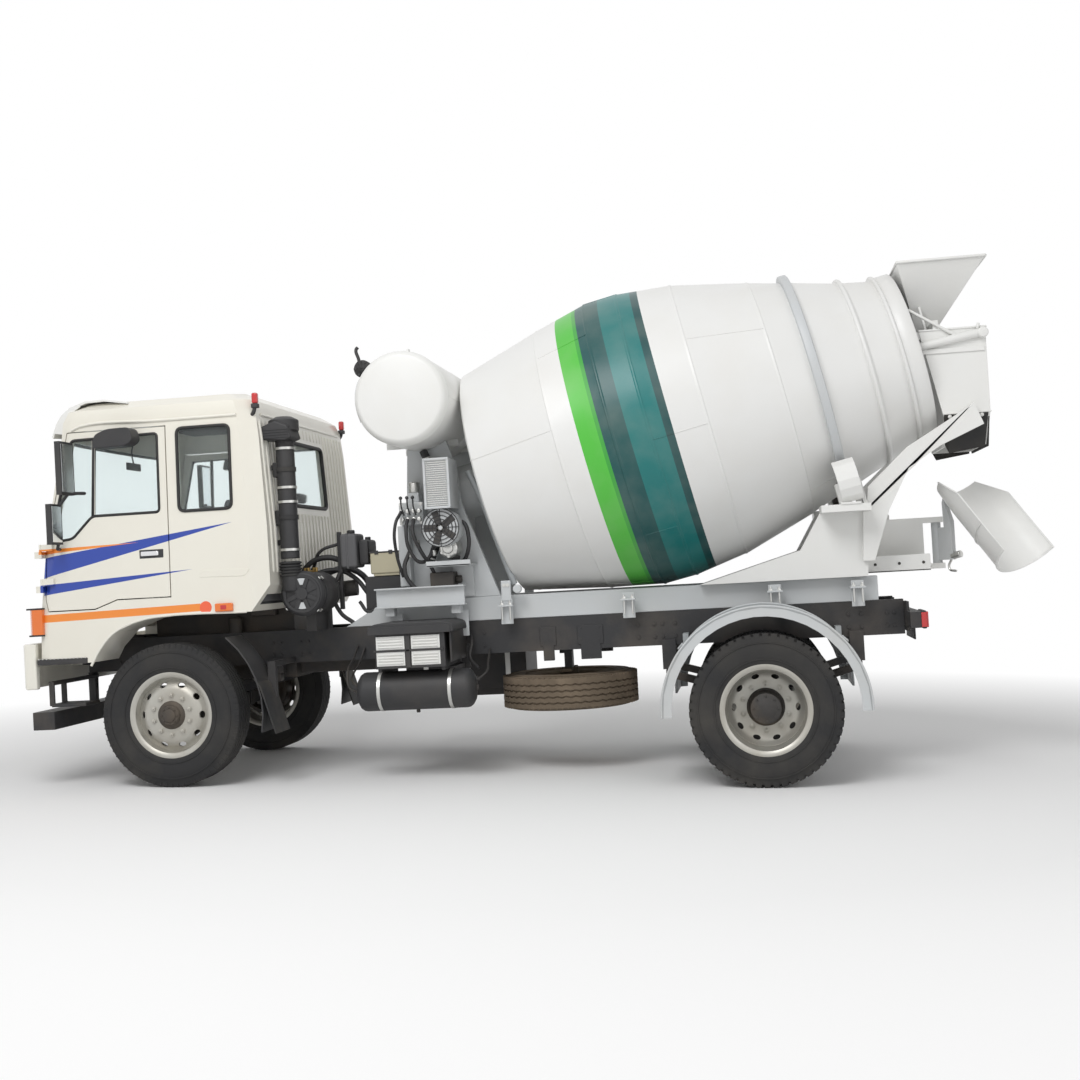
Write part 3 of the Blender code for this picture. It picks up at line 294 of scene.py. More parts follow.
def spun(name, profile, centre, along, steps=64, closed=False):
    """Spin (distance along, radius) points about an axis; profile ends on the axis or joins up."""
    along = Vector(along).normalized()
    side = Vector((0.0, 0.0, 1.0)) if abs(along.z) < 0.9 else Vector((1.0, 0.0, 0.0))
    side = (side - along * side.dot(along)).normalized()
    centre = Vector(centre)
    points = [centre + along * s + side * r for s, r in profile]
    if closed:
        points.append(points[0])
    piece = drawn_line(name, points)
    bpy.ops.mesh.select_all(action="SELECT")
    bpy.ops.mesh.spin(steps=steps, angle=2.0 * math.pi, center=centre, axis=along)
    return close_up(piece, 2e-5)


def pushed(name, outline, axis, low, high):
    """Fill an outline and push it along an axis: (Y, Z) along X, (X, Z) along Y, (X, Y) along Z."""
    place = {"X": lambda a, b: (low, a, b), "Y": lambda a, b: (a, low, b), "Z": lambda a, b: (a, b, low)}[axis]
    points = [place(a, b) for a, b in outline]
    piece = drawn_line(name, points)
    bpy.ops.mesh.select_all(action="SELECT")
    bpy.ops.mesh.edge_face_add()
    push = Vector({"X": (high - low, 0, 0), "Y": (0, high - low, 0), "Z": (0, 0, high - low)}[axis])
    bpy.ops.mesh.extrude_region_move(TRANSFORM_OT_translate={"value": push})
    return close_up(piece)


def bar(name, x, y, z, edge=0.004):
    """A block between three (low, high) pairs with its edges broken."""
    deselect()
    size = [b - a for a, b in (x, y, z)]
    bpy.ops.mesh.primitive_cube_add(size=1.0, location=[(a + b) / 2.0 for a, b in (x, y, z)])
    piece = bpy.context.object
    piece.name = name
    piece.scale = size
    bpy.ops.object.transform_apply(location=True, rotation=True, scale=True)
    return broken_edges(piece, min(edge, min(size) * 0.3))


def tube(name, points, radius, sides=10, smooth=True):
    """A round bar or hose along a curve through its points."""
    deselect()
    bpy.ops.curve.primitive_bezier_curve_add(location=(0.0, 0.0, 0.0))
    piece = bpy.context.object
    piece.name = name
    spline = piece.data.splines[0]
    spline.bezier_points.add(len(points) - 2)
    for knot, point in zip(spline.bezier_points, points):
        knot.co = point
        knot.handle_left_type = knot.handle_right_type = "AUTO" if smooth else "VECTOR"
    piece.data.resolution_u = 8 if smooth else 1
    piece.data.bevel_depth = radius
    piece.data.bevel_resolution = max(sides // 4, 1)
    piece.data.use_fill_caps = True
    bpy.ops.object.convert(target="MESH")
    piece = bpy.context.object
    edit(piece)
    return close_up(piece)


print("drawing helpers ready")

# %% Helpers: finishing edges, copies and joins


def apply_step(piece, kind, **values):
    """Add one modifier, set it and apply it."""
    deselect()
    piece.select_set(True)
    bpy.context.view_layer.objects.active = piece
    bpy.ops.object.modifier_add(type=kind)
    step = piece.modifiers[-1]
    for key, value in values.items():
        setattr(step, key, value)
    bpy.ops.object.modifier_apply(modifier=step.name)
    return piece


def broken_edges(piece, width, segments=2, angle=32.0):
    """Bevel the sharp edges and weight the normals, so flats stay flat."""
    apply_step(piece, "BEVEL", width=width, segments=segments, limit_method="ANGLE",
               angle_limit=math.radians(angle), use_clamp_overlap=True, harden_normals=False)
    bpy.ops.object.shade_smooth()
    apply_step(piece, "WEIGHTED_NORMAL", keep_sharp=False, weight=60)
    return piece


def smooth_by(piece, angle):
    deselect()
    piece.select_set(True)
    bpy.context.view_layer.objects.active = piece
    bpy.ops.object.shade_smooth_by_angle(angle=math.radians(angle))
    return piece


def copy_of(piece, name):
    deselect()
    piece.select_set(True)
    bpy.context.view_layer.objects.active = piece
    bpy.ops.object.duplicate(linked=False)
    twin = bpy.context.object
    twin.name = name
    return twin


def moved(piece, by):
    piece.data.transform(Matrix.Translation(Vector(by)))
    return piece


def turned(piece, centre, axis, degrees):
    """Turn a finished shape about an axis through a point."""
    centre = Vector(centre)
    piece.data.transform(Matrix.Translation(centre) @ Matrix.Rotation(math.radians(degrees), 4, Vector(axis))
                         @ Matrix.Translation(-centre))
    return piece


def mirrored(piece, name):
    """A copy on the other side of the truck, with its faces turned out again."""
    twin = copy_of(piece, name)
    twin.data.transform(Matrix.Scale(-1.0, 4, Vector((1.0, 0.0, 0.0))))
    edit(twin)
    bpy.ops.mesh.flip_normals()
    bpy.ops.object.mode_set(mode="OBJECT")
    return twin


def joined(name, pieces):
    deselect()
    for piece in pieces:
        piece.select_set(True)
    bpy.context.view_layer.objects.active = pieces[0]
    bpy.ops.object.join()
    pieces[0].name = name
    return pieces[0]


def around(name, piece, centre, axis, count, start=0.0):
    """Copies of one shape evenly round an axis, as one piece."""
    copies = [turned(copy_of(piece, name), centre, axis, start + 360.0 * k / count) for k in range(count)]
    bpy.data.objects.remove(piece, do_unlink=True)
    return joined(name, copies)


def dress(piece, body, material):
    """Finish a piece that is already in the world's frame."""
    piece.data.materials.clear()
    piece.data.materials.append(material)
    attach(piece, body)
    return piece


print("finishing helpers ready")

# %% [markdown]
# ## Softer edges on the frame's pieces
# Pressed steel and castings have no knife edges. Each hard piece of the frame
# is copied, its loose triangles are merged, flat faces are joined, and the
# edges are bevelled a few millimetres. The copy stands for the frame's piece.

# %% Soften the hard pieces
body_of = {member: body for body, members in frame["record"]["behaviour"]["bodies"].items() for member in members}
SOFT_WIDTHS = {                # piece: (bevel width, angle over which an edge is sharp)
    "cab_shell": (0.010, 24), "door_left": (0.008, 24), "door_right": (0.008, 24), "front_bumper": (0.012, 20),
    "chassis_frame": (0.004, 32), "underrun_bar_and_steps": (0.006, 32), "mixer_subframe": (0.006, 32),
    "front_pedestal": (0.005, 32), "rear_pedestal": (0.008, 24), "discharge_collector": (0.004, 20),
    "charging_hopper": (0.005, 20), "fuel_tank": (0.012, 24), "battery_box": (0.012, 32), "dashboard": (0.030, 32),
    "front_axle": (0.006, 32), "rear_axle": (0.008, 32), "knuckle_left": (0.004, 32), "knuckle_right": (0.004, 32),
    "engine_and_gearbox": (0.015, 32), "oil_cooler": (0.006, 32), "chute_swivel": (0.005, 32),
    "drum_gearbox": (0.010, 32), "snorkel": (0.006, 32),
    "front_mudguard_left": (0.004, 50), "front_mudguard_right": (0.004, 50), "mirror_left": (0.012, 32),
    "mirror_right": (0.012, 32), "rear_mudguard_left": (0.003, 50), "rear_mudguard_right": (0.003, 50),
    "roller_left": (0.006, 32), "roller_right": (0.006, 32), "steering_wheel": (0.002, 60),
    "discharge_chute": (0.003, 50)}
softened = {}
for name, (width, angle) in SOFT_WIDTHS.items():
    soft = copy_of(nodes[name], name + "_skin")
    soft.parent = None
    edit(soft)
    bpy.ops.mesh.remove_doubles(threshold=2e-5)
    bpy.ops.mesh.dissolve_limited(angle_limit=math.radians(0.6))
    bpy.ops.object.mode_set(mode="OBJECT")
    broken_edges(soft, width, angle=angle)
    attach(soft, body_of[name])
    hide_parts(name)
    softened[name] = soft
print("softened", len(softened), "pieces")

# %% [markdown]
# ## Tyres
# A truck tyre has a bulging wall, a shoulder and a flat tread. The ring is spun
# from one section; ribs with grooves run round the front and spare tyres, and
# the driven tyres have rows of blocks. One block is shaped and an array turns
# it round the axle. The wheels stand on the ground, so all heights come from
# the axle.

# %% Tyre casing
TREAD_RADIUS = AXLE_HEIGHT - 0.001
TREAD_DEPTH = 0.015
HALF_SECTION = 0.130           # half the tyre's width at its widest
HALF_TREAD = 0.104
BEAD_PLACE = (0.100, 0.290)    # (distance from the middle, radius)


def casing_profile(base):
    """Half section from bead to tread edge, as (x, radius)."""
    return [BEAD_PLACE, (0.108, 0.305), (0.118, 0.325), (0.127, 0.360), (HALF_SECTION, 0.402), (0.127, 0.440),
            (0.120, 0.468), (0.1145, 0.484), (0.110, base - 0.004)]


def tyre_ring(name, grooves, base):
    """A tyre casing spun about X at the origin, with (centre, half width) grooves in its tread."""
    half = casing_profile(base)
    crown = [(HALF_TREAD + 0.002, base)]
    for middle, wide in sorted(grooves, reverse=True):
        crown += [(middle + wide, base), (middle + wide * 0.6, base - TREAD_DEPTH * 0.8),
                  (middle - wide * 0.6, base - TREAD_DEPTH * 0.8), (middle - wide, base)]
    crown.append((-HALF_TREAD - 0.002, base))
    profile = half + crown + [(-x, r) for x, r in reversed(half)]
    return spun(name, profile, (0.0, 0.0, 0.0), (1.0, 0.0, 0.0), steps=96, closed=True)


def zigzag(piece, grooves, amount):
    """Sway each groove from side to side round the tyre."""
    low = TREAD_RADIUS - TREAD_DEPTH * 1.2
    edit(piece, "DESELECT")
    bpy.ops.object.mode_set(mode="OBJECT")
    for vertex in piece.data.vertices:
        x, y, z = vertex.co
        turn = math.degrees(math.atan2(y, z)) / 3.75
        near = any(abs(x - middle) < wide * 1.4 for middle, wide in grooves)
        vertex.select = near and math.hypot(y, z) > low and round(turn) % 2 == 0
    bpy.ops.object.mode_set(mode="EDIT")
    bpy.ops.transform.translate(value=(amount, 0.0, 0.0))
    bpy.ops.object.mode_set(mode="OBJECT")


RIB_GROOVES = ((0.066, 0.007), (0.022, 0.007), (-0.022, 0.007), (-0.066, 0.007))
rib_tyre = tyre_ring("rib_tyre", RIB_GROOVES, TREAD_RADIUS)
zigzag(rib_tyre, RIB_GROOVES, 0.009)
notch = pushed("shoulder_notch", [(-0.006, 0.486), (0.006, 0.486), (0.004, 0.5165), (-0.004, 0.5165)], "X", 0.104, 0.1165)
lugs = around("shoulder_lugs", notch, (0.0, 0.0, 0.0), (1.0, 0.0, 0.0), 72)
rib_tyre = joined("rib_tyre", [rib_tyre, lugs, mirrored(lugs, "lugs_inside")])
print("rib tyre:", len(rib_tyre.data.polygons), "faces")

# %% Block tread for the driven wheels
PITCHES = 54
block_tyre = tyre_ring("block_tyre", (), TREAD_RADIUS - TREAD_DEPTH)
rows = []
# (inner x, outer x, half length, sway of the outer end, turn in pitches)
for number, (inner, outer, half, sway, shift) in enumerate(((0.062, 0.112, 0.0215, 0.006, 0.0),
                                                            (0.008, 0.055, 0.0225, -0.008, 0.5))):
    top, foot = TREAD_RADIUS, TREAD_RADIUS - TREAD_DEPTH * 1.4
    outline = [(inner, -half), (outer, -half + sway), (outer, half + sway), (inner, half)]
    lug = pushed("tread_block", outline, "Z", foot, top)
    edit(lug, "DESELECT")
    bpy.ops.mesh.select_mode(type="FACE")
    bpy.ops.object.mode_set(mode="OBJECT")
    for face in lug.data.polygons:
        face.select = face.normal.z > 0.9
    bpy.ops.object.mode_set(mode="EDIT")
    bpy.ops.transform.resize(value=(0.90, 0.90, 1.0), center_override=((inner + outer) / 2.0, sway / 2.0, top))
    if outer > HALF_TREAD:
        bpy.ops.mesh.select_all(action="DESELECT")
        bpy.ops.object.mode_set(mode="OBJECT")
        for vertex in lug.data.vertices:
            vertex.select = vertex.co.x > 0.1 and vertex.co.z < TREAD_RADIUS - 0.01
        bpy.ops.object.mode_set(mode="EDIT")
        bpy.ops.mesh.select_mode(type="VERT")
        bpy.ops.transform.translate(value=(0.004, 0.0, -0.020))
    bpy.ops.object.mode_set(mode="OBJECT")
    turned(lug, (0.0, 0.0, 0.0), (1.0, 0.0, 0.0), shift * 360.0 / PITCHES)
    ring = around("row", lug, (0.0, 0.0, 0.0), (1.0, 0.0, 0.0), PITCHES)
    rows += [ring, turned(mirrored(ring, "row_inside"), (0.0, 0.0, 0.0), (1.0, 0.0, 0.0), 180.0 / PITCHES)]
block_tyre = joined("block_tyre", [block_tyre] + rows)
print("block tyre:", len(block_tyre.data.polygons), "faces")

# %% [markdown]
# ## Wall relief
# Two thin raised rings stand on each wall, as on real tyres, and there is no
# lettering.

# %% Place the tyres
for pattern in (rib_tyre, block_tyre):
    bands = []
    for x, r in ((0.1265, 0.345), (0.1275, 0.455)):
        for side in (1.0, -1.0):
            loop = spun("wall_band", [(side * (x - 0.003), r - 0.005), (side * (x + 0.002), r - 0.003),
                                      (side * (x + 0.002), r + 0.003), (side * (x - 0.003), r + 0.005)],
                        (0.0, 0.0, 0.0), (1.0, 0.0, 0.0), steps=72, closed=True)
            bands.append(loop)
    joined(pattern.name, [pattern] + bands)
    smooth_by(pattern, 30)
centre_of = {}
for name in nodes:
    if "tyre" in name or "rim" in name:
        low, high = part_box(name)
        centre_of[name] = (low + high) / 2.0
for name in [n for n in nodes if "tyre" in n and n != "spare_tyre"]:
    pattern = rib_tyre if name.startswith("front") else block_tyre
    tyre = copy_of(pattern, name + "_treaded")
    moved(tyre, centre_of[name])
    dress(tyre, body_of[name], tyre_black)
    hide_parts(name)
spare = copy_of(rib_tyre, "spare_tyre_treaded")
turned(spare, (0.0, 0.0, 0.0), (0.0, 1.0, 0.0), 90.0)
turned(spare, (0.0, 0.0, 0.0), (1.0, 0.0, 0.0), math.degrees(RAKE))
spare_centre = level(0.0, 2.770, 0.500)
moved(spare, spare_centre)
dress(spare, "root", old_tyre)
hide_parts("spare_tyre")
for pattern in (rib_tyre, block_tyre):
    bpy.data.objects.remove(pattern, do_unlink=True)
print("tyres placed:", len(centre_of))

# %% [markdown]
# ## Wheels
# The discs are pressed steel: a flat face with ten studs and ten hand holes
# near the rim. The disc is spun with a real wall, the hand holes are cut with
# one ring of round cutters, and a dark hub with its cap and nuts is added.

# %% Rim parts at the origin


def hand_holes(disc, radius, x, size, count=10):
    """Cut a ring of round holes through a disc that faces +X."""
    deselect()
    bpy.ops.mesh.primitive_cylinder_add(vertices=16, radius=size, depth=0.16, location=(x, 0.0, radius),
                                        rotation=(0.0, math.pi / 2.0, 0.0))
    cutter = bpy.context.object
    bpy.ops.object.transform_apply(location=True, rotation=True, scale=True)
    cutter.data.transform(Matrix.Translation((0, 0, radius)) @ Matrix.Scale(0.62, 4, Vector((0, 0, 1)))
                          @ Matrix.Translation((0, 0, -radius)))
    cutter = around("cutter", cutter, (0.0, 0.0, 0.0), (1.0, 0.0, 0.0), count, 18.0)
    apply_step(disc, "BOOLEAN", operation="DIFFERENCE", object=cutter, solver="EXACT")
    bpy.data.objects.remove(cutter, do_unlink=True)
    return disc


def nuts(name, radius, x, size, count=10):
    """A ring of hexagon nuts on their studs, standing out along +X."""
    stud = spun(name, [(x - 0.010, 0.0), (x - 0.010, size * 0.42), (x + size * 1.5, size * 0.42),
                       (x + size * 1.62, size * 0.30), (x + size * 1.62, 0.0)], (0.0, 0.0, radius), (1.0, 0.0, 0.0), 8)
    nut = spun(name, [(x - 0.006, 0.0), (x - 0.006, size), (x + size * 0.95, size), (x + size * 1.05, size * 0.80),
                      (x + size * 1.05, 0.0)], (0.0, 0.0, radius), (1.0, 0.0, 0.0), 6)
    collar = spun(name, [(x - 0.006, 0.0), (x - 0.006, size * 1.35), (x + 0.003, size * 1.30), (x + 0.005, 0.0)],
                  (0.0, 0.0, radius), (1.0, 0.0, 0.0), 16)
    return around(name, joined(name, [stud, nut, collar]), (0.0, 0.0, 0.0), (1.0, 0.0, 0.0), count)


RIM_EDGE = [(0.096, 0.2855), (0.1005, 0.292), (0.1010, 0.3105), (0.1065, 0.3135), (0.1120, 0.3105), (0.1130, 0.302),
            (0.1075, 0.285), (0.100, 0.274)]        # the rolled outer edge of a rim, from the tyre's bead inwards


def rim_well(middle):
    """Both rolled edges and the well between them, as a closed ring section."""
    outer = [(middle + x, r) for x, r in RIM_EDGE]
    inner = [(middle - x, r) for x, r in reversed(RIM_EDGE)]
    return spun("rim_well", outer + [(middle + 0.060, 0.262), (middle - 0.060, 0.262)] + inner
                + [(middle - 0.06, 0.2835), (middle + 0.06, 0.2835)], (0, 0, 0), (1, 0, 0), 72, closed=True)


front_disc = spun("front_disc", [(0.096, 0.050), (0.096, 0.150), (0.094, 0.185), (0.086, 0.207), (0.068, 0.228), (0.050, 0.246),
                                 (0.046, 0.268), (0.036, 0.268), (0.038, 0.240), (0.058, 0.220), (0.074, 0.200),
                                 (0.082, 0.180), (0.084, 0.150), (0.084, 0.050)], (0, 0, 0), (1, 0, 0), 80, closed=True)
hand_holes(front_disc, 0.222, 0.05, 0.027)
front_rim = joined("front_rim", [rim_well(0.0), front_disc, nuts("front_nuts", 0.142, 0.096, 0.0165)])
smooth_by(front_rim, 35)
front_hub = spun("front_hub", [(0.078, 0.0), (0.078, 0.104), (0.100, 0.102), (0.110, 0.092), (0.116, 0.078), (0.135, 0.072),
                               (0.140, 0.066), (0.141, 0.050), (0.1475, 0.046), (0.150, 0.040), (0.150, 0.0)],
                 (0, 0, 0), (1, 0, 0), 48)
hub_bolts = nuts("hub_bolts", 0.058, 0.140, 0.0065, 8)
front_hub = joined("front_hub", [front_hub, hub_bolts])
smooth_by(front_hub, 35)

rear_disc = spun("rear_disc", [(0.026, 0.060), (0.026, 0.190), (0.030, 0.215), (0.044, 0.240), (0.070, 0.262), (0.070, 0.2695),
                               (0.052, 0.262), (0.034, 0.250), (0.020, 0.225), (0.014, 0.200), (0.012, 0.060)],
                 (0, 0, 0), (1, 0, 0), 80, closed=True)
hand_holes(rear_disc, 0.218, 0.03, 0.027)
rear_rim = joined("rear_rim", [rim_well(0.160), rim_well(-0.160), rear_disc, nuts("rear_nuts", 0.162, 0.026, 0.0165)])
smooth_by(rear_rim, 35)
rear_hub = spun("rear_hub", [(0.010, 0.0), (0.010, 0.132), (0.034, 0.130), (0.040, 0.118), (0.060, 0.108), (0.140, 0.098),
                             (0.148, 0.104), (0.156, 0.104), (0.160, 0.096), (0.162, 0.070), (0.168, 0.060), (0.170, 0.0)],
                (0, 0, 0), (1, 0, 0), 48)
rear_hub = joined("rear_hub", [rear_hub, nuts("shaft_bolts", 0.084, 0.158, 0.0075, 8)])
smooth_by(rear_hub, 35)
rear_drum = spun("brake_drum", [(-0.020, 0.060), (-0.020, 0.195), (-0.070, 0.205), (-0.290, 0.205), (-0.290, 0.190),
                                (-0.080, 0.185), (-0.080, 0.060)], (0, 0, 0), (1, 0, 0), 64, closed=True)
front_drum = spun("brake_drum", [(0.060, 0.060), (0.060, 0.180), (0.040, 0.194), (-0.115, 0.194), (-0.115, 0.170),
                                 (0.020, 0.165), (0.020, 0.060)], (0, 0, 0), (1, 0, 0), 64, closed=True)
for drum_part in (rear_drum, front_drum):
    smooth_by(drum_part, 35)
print("wheel parts made")

# %% Place the rims
for name in [n for n in nodes if n.startswith(("front_rim", "rear_rims"))]:
    front = name.startswith("front")
    for pattern, material, label in (((front_rim, rim_silver, "disc") if front else (rear_rim, rim_silver, "disc")),
                                     ((front_hub, cast, "hub") if front else (rear_hub, cast, "hub")),
                                     ((front_drum, cast, "brake") if front else (rear_drum, cast, "brake"))):
        if name.endswith("left"):
            part = copy_of(pattern, name + "_" + label)
        else:
            part = mirrored(pattern, name + "_" + label)
        centre = Vector(centre_of["front_tyre" + name[9:]] if front else
                        (centre_of["rear_tyre_outer" + name[9:]] + centre_of["rear_tyre_inner" + name[9:]]) / 2.0)
        moved(part, centre)
        dress(part, body_of[name], material)
        if label == "disc":
            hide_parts(name)
spare_disc = joined("spare_disc", [rim_well(0.0), spun("spare_face", [
    (-0.080, 0.085), (-0.080, 0.190), (-0.060, 0.225), (-0.040, 0.262), (-0.030, 0.262), (-0.048, 0.222),
    (-0.070, 0.185), (-0.070, 0.085)], (0, 0, 0), (1, 0, 0), 64, closed=True)])
turned(spare_disc, (0, 0, 0), (0, 1, 0), 90.0)
clamp_plate = joined("clamp", [
    spun("clamp_cone", [(-0.090, 0.0), (-0.090, 0.110), (0.060, 0.070), (0.158, 0.060), (0.158, 0.0)], (0, 0, 0), (0, 0, 1), 24),
    bar("clamp_bar", (-0.20, 0.20), (-0.04, 0.04), (0.135, 0.157))])
spare_disc = joined("spare_rim_pressed", [spare_disc, clamp_plate])
turned(spare_disc, (0, 0, 0), (1, 0, 0), math.degrees(RAKE))
moved(spare_disc, spare_centre)
smooth_by(spare_disc, 35)
dress(spare_disc, "root", old_tyre)
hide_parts("spare_rim")
for pattern in (front_rim, front_hub, rear_rim, rear_hub, rear_drum, front_drum):
    bpy.data.objects.remove(pattern, do_unlink=True)
print("rims placed")

# %% [markdown]
# ## The mixing drum
# The drum is rolled from cones and a cylinder of sheet steel. Its outside is
# spun about the tilted axis, with a small bead wherever two rings of sheet are
# welded, and the seams along each ring are thin beads too.

# %% Drum shell
DRUM_RINGS = ((0.100, 0.861), (0.750, 1.0215), (1.150, 1.1050), (1.400, 1.1050), (1.800, 1.0505), (2.350, 0.8985),
              (2.575, 0.8260))          # (distance along the axis, radius) where the sheets meet
TAIL_RINGS = ((2.645, 0.808), (2.970, 0.7010), (3.000, 0.694), (3.230, 0.6365), (3.340, 0.625))
ROUNDED_SHOULDER = ((0.115, 0.640), (0.100, 0.700), (0.094, 0.790), (0.098, 0.835), (0.112, 0.858))


def with_beads(rings, bead):
    """The sheet's outline with a small bump at each ring."""
    outline = []
    for (s0, r0), (s1, r1) in zip(rings, rings[1:]):
        slope = (r1 - r0) / (s1 - s0)
        outline += [(s0 + 0.012, r0 + slope * 0.012), (s1 - 0.012, r1 - slope * 0.012), (s1 - 0.006, r1 + bead * 0.8),
                    (s1, r1 + bead), (s1 + 0.006, r1 + bead * 0.8)]
    return outline


def tyre_of_drum(s, r, half, tall):
    """A rolled ring round the drum: a rounded rectangle standing on the sheet."""
    return [(s - half, r - 0.02), (s - half, r + tall - 0.008), (s - half + 0.008, r + tall), (s + half - 0.008, r + tall),
            (s + half, r + tall - 0.008), (s + half, r - 0.02)]


shell_line = ([(0.160, 0.0), (0.160, 0.600)] + list(ROUNDED_SHOULDER) + with_beads(DRUM_RINGS, 0.004)[:-3]
              + with_beads(TAIL_RINGS, 0.003)[:-3]
              + [(3.358, 0.620), (3.358, 0.600), (3.240, 0.605), (3.000, 0.680), (2.575, 0.810), (1.800, 1.036),
                 (1.400, 1.092), (1.150, 1.092), (0.750, 1.009), (0.118, 0.846), (0.175, 0.60), (0.175, 0.0)])
shell = spun("drum_shell", shell_line, DRUM_START, DRUM_AXIS, steps=120)
rolled = [spun("drum_ring", tyre_of_drum(s, r, half, tall), DRUM_START, DRUM_AXIS, steps=120, closed=True)
          for s, r, half, tall in ((2.985, 0.697, 0.016, 0.030), (3.295, 0.630, 0.060, 0.026), (3.225, 0.640, 0.014, 0.034))]
smooth_by(shell, 22)
for ring in rolled:
    smooth_by(ring, 50)
drum_shell = joined("drum_shell", [shell] + rolled)
dress(drum_shell, "drum", drum_paint)
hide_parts("drum")
track = spun("track_ring", [(2.578, 0.815), (2.578, 0.862), (2.584, 0.871), (2.592, 0.8735), (2.628, 0.8735), (2.636, 0.871),
                            (2.642, 0.862), (2.642, 0.800)], DRUM_START, DRUM_AXIS, steps=120, closed=True)
smooth_by(track, 35)
dress(track, "drum", frame_grey)
print("drum:", len(drum_shell.data.polygons), "faces")

# %% [markdown]
# ## Seams along the sheets
# Each ring is closed by welds that run along the drum. They are staggered from
# ring to ring, so no four corners meet.

# %% Long seams
drum_side = Vector((1.0, 0.0, 0.0))
drum_up = drum_side.cross(DRUM_AXIS).normalized()
seams = []
for number, ((s0, r0), (s1, r1)) in enumerate(zip(DRUM_RINGS, DRUM_RINGS[1:])):
    if s1 - s0 < 0.2:
        continue
    for k in range(3 if r0 > 0.9 or number == 0 else 2):
        a = math.radians(35.0 * number + 120.0 * k + 8.0)
        out = drum_side * math.cos(a) + drum_up * math.sin(a)
        ends = [DRUM_START + DRUM_AXIS * s + out * (r + 0.0005) for s, r in ((s0, r0), (s1, r1))]
        seams.append(tube("seam", [ends[0], (ends[0] + ends[1]) / 2.0, ends[1]], 0.0028, 8))
drum_seams = joined("drum_seams", seams)
dress(drum_seams, "drum", drum_paint)
print("seams:", len(seams))

# %% [markdown]
# ## Inspection hatch
# A mixing drum has one bolted hatch in its widest part, for clearing set
# concrete. It is a plate with rounded corners that follows the drum, on the
# side away from the picture.

# %% Hatch
hatch_parts = []
hatch_angle = math.radians(205.0)
for inset, lift in ((0.0, 0.006), (0.035, 0.014)):
    deselect()
    bpy.ops.mesh.primitive_grid_add(x_subdivisions=12, y_subdivisions=12, size=1.0, location=(0.0, 0.0, 0.0))
    plate = bpy.context.object
    for vertex in plate.data.vertices:
        along_drum = 1.275 + vertex.co.x * (0.36 - inset)
        swing = hatch_angle + vertex.co.y * (0.42 - inset)
        out = drum_side * math.cos(swing) + drum_up * math.sin(swing)
        edge_radius = 1.105 - max(0.0, abs(along_drum - 1.275) - 0.125) * 0.12
        vertex.co = DRUM_START + DRUM_AXIS * along_drum + out * (edge_radius + lift * 0.5)
    apply_step(plate, "SOLIDIFY", thickness=lift, offset=0.0)
    hatch_parts.append(broken_edges(plate, 0.002))
for k in range(10):
    along_drum = 1.275 + (0.16 if k % 2 else -0.16)
    swing = hatch_angle + (k // 2 - 2) * 0.085
    out = drum_side * math.cos(swing) + drum_up * math.sin(swing)
    place = DRUM_START + DRUM_AXIS * along_drum + out * 1.100
    hatch_parts.append(spun("hatch_bolt", [(0.0, 0.0), (0.0, 0.012), (0.020, 0.012), (0.021, 0.0)], place, out, 6))
hatch = joined("drum_hatch", hatch_parts)
dress(hatch, "drum", drum_paint)
print("hatch faces:", len(hatch.data.polygons))

# %% [markdown]
# ## Cab paint with its stripes
# A plain orange stripe runs low along each side, and a simple design of blue
# and orange pennants rises along the doors. Both are painted by the material:
# each pennant is the space between two straight lines, so two comparisons
# and a multiplication draw it. The lines live in the chassis frame, which a
# Mapping node turns back from the lean.

# %% A paint with masks


def lean_back(tree):
    """Object coordinates turned back into the level chassis frame, split into X, Y, Z."""
    place = next(n for n in tree.nodes if n.type == "TEX_COORD")
    turn = tree.nodes.new("ShaderNodeMapping")
    turn.vector_type = "POINT"
    back = LEAN.inverted()
    turn.inputs["Location"].default_value = back.translation
    turn.inputs["Rotation"].default_value = back.to_euler()
    tree.links.new(place.outputs["Object"], turn.inputs["Vector"])
    split = tree.nodes.new("ShaderNodeSeparateXYZ")
    tree.links.new(turn.outputs["Vector"], split.inputs[0])
    return split


def math_node(tree, operation, *values):
    node = tree.nodes.new("ShaderNodeMath")
    node.operation = operation
    for socket, value in zip(node.inputs, values):
        if isinstance(value, bpy.types.NodeSocket):
            tree.links.new(value, socket)
        else:
            socket.default_value = value
    return node.outputs[0]


def line_height(tree, along, start, end):
    """The height of the line through two (along, height) points."""
    slope = (end[1] - start[1]) / (end[0] - start[0])
    return math_node(tree, "MULTIPLY_ADD", along, slope, start[1] - slope * start[0])


def between(tree, split, low, high, reach):
    """1 where Z lies between two lines and Y between two limits, on the cab's sides."""
    y, z = split.outputs["Y"], split.outputs["Z"]
    over = math_node(tree, "GREATER_THAN", z, line_height(tree, y, *low))
    under = math_node(tree, "LESS_THAN", z, line_height(tree, y, *high))
    ahead = math_node(tree, "GREATER_THAN", y, reach[0])
    behind = math_node(tree, "LESS_THAN", y, reach[1])
    side = math_node(tree, "GREATER_THAN", math_node(tree, "ABSOLUTE", split.outputs["X"]), 1.085)
    return math_node(tree, "MULTIPLY", math_node(tree, "MULTIPLY", over, under),
                     math_node(tree, "MULTIPLY", math_node(tree, "MULTIPLY", ahead, behind), side))


def painted_over(material, masks):
    """Lay colours over the base colour where their masks are 1."""
    tree = material.node_tree
    base = next(n for n in tree.nodes if n.type == "MIX")
    shader = tree.nodes["Principled BSDF"]
    last = base.outputs[2]
    for mask, colour in masks:
        coat = tree.nodes.new("ShaderNodeMix")
        coat.data_type = "RGBA"
        tree.links.new(mask, coat.inputs[0])
        tree.links.new(last, coat.inputs[6])
        coat.inputs[7].default_value = (*colour, 1.0)
        last = coat.outputs[2]
    tree.links.new(last, shader.inputs["Base Color"])


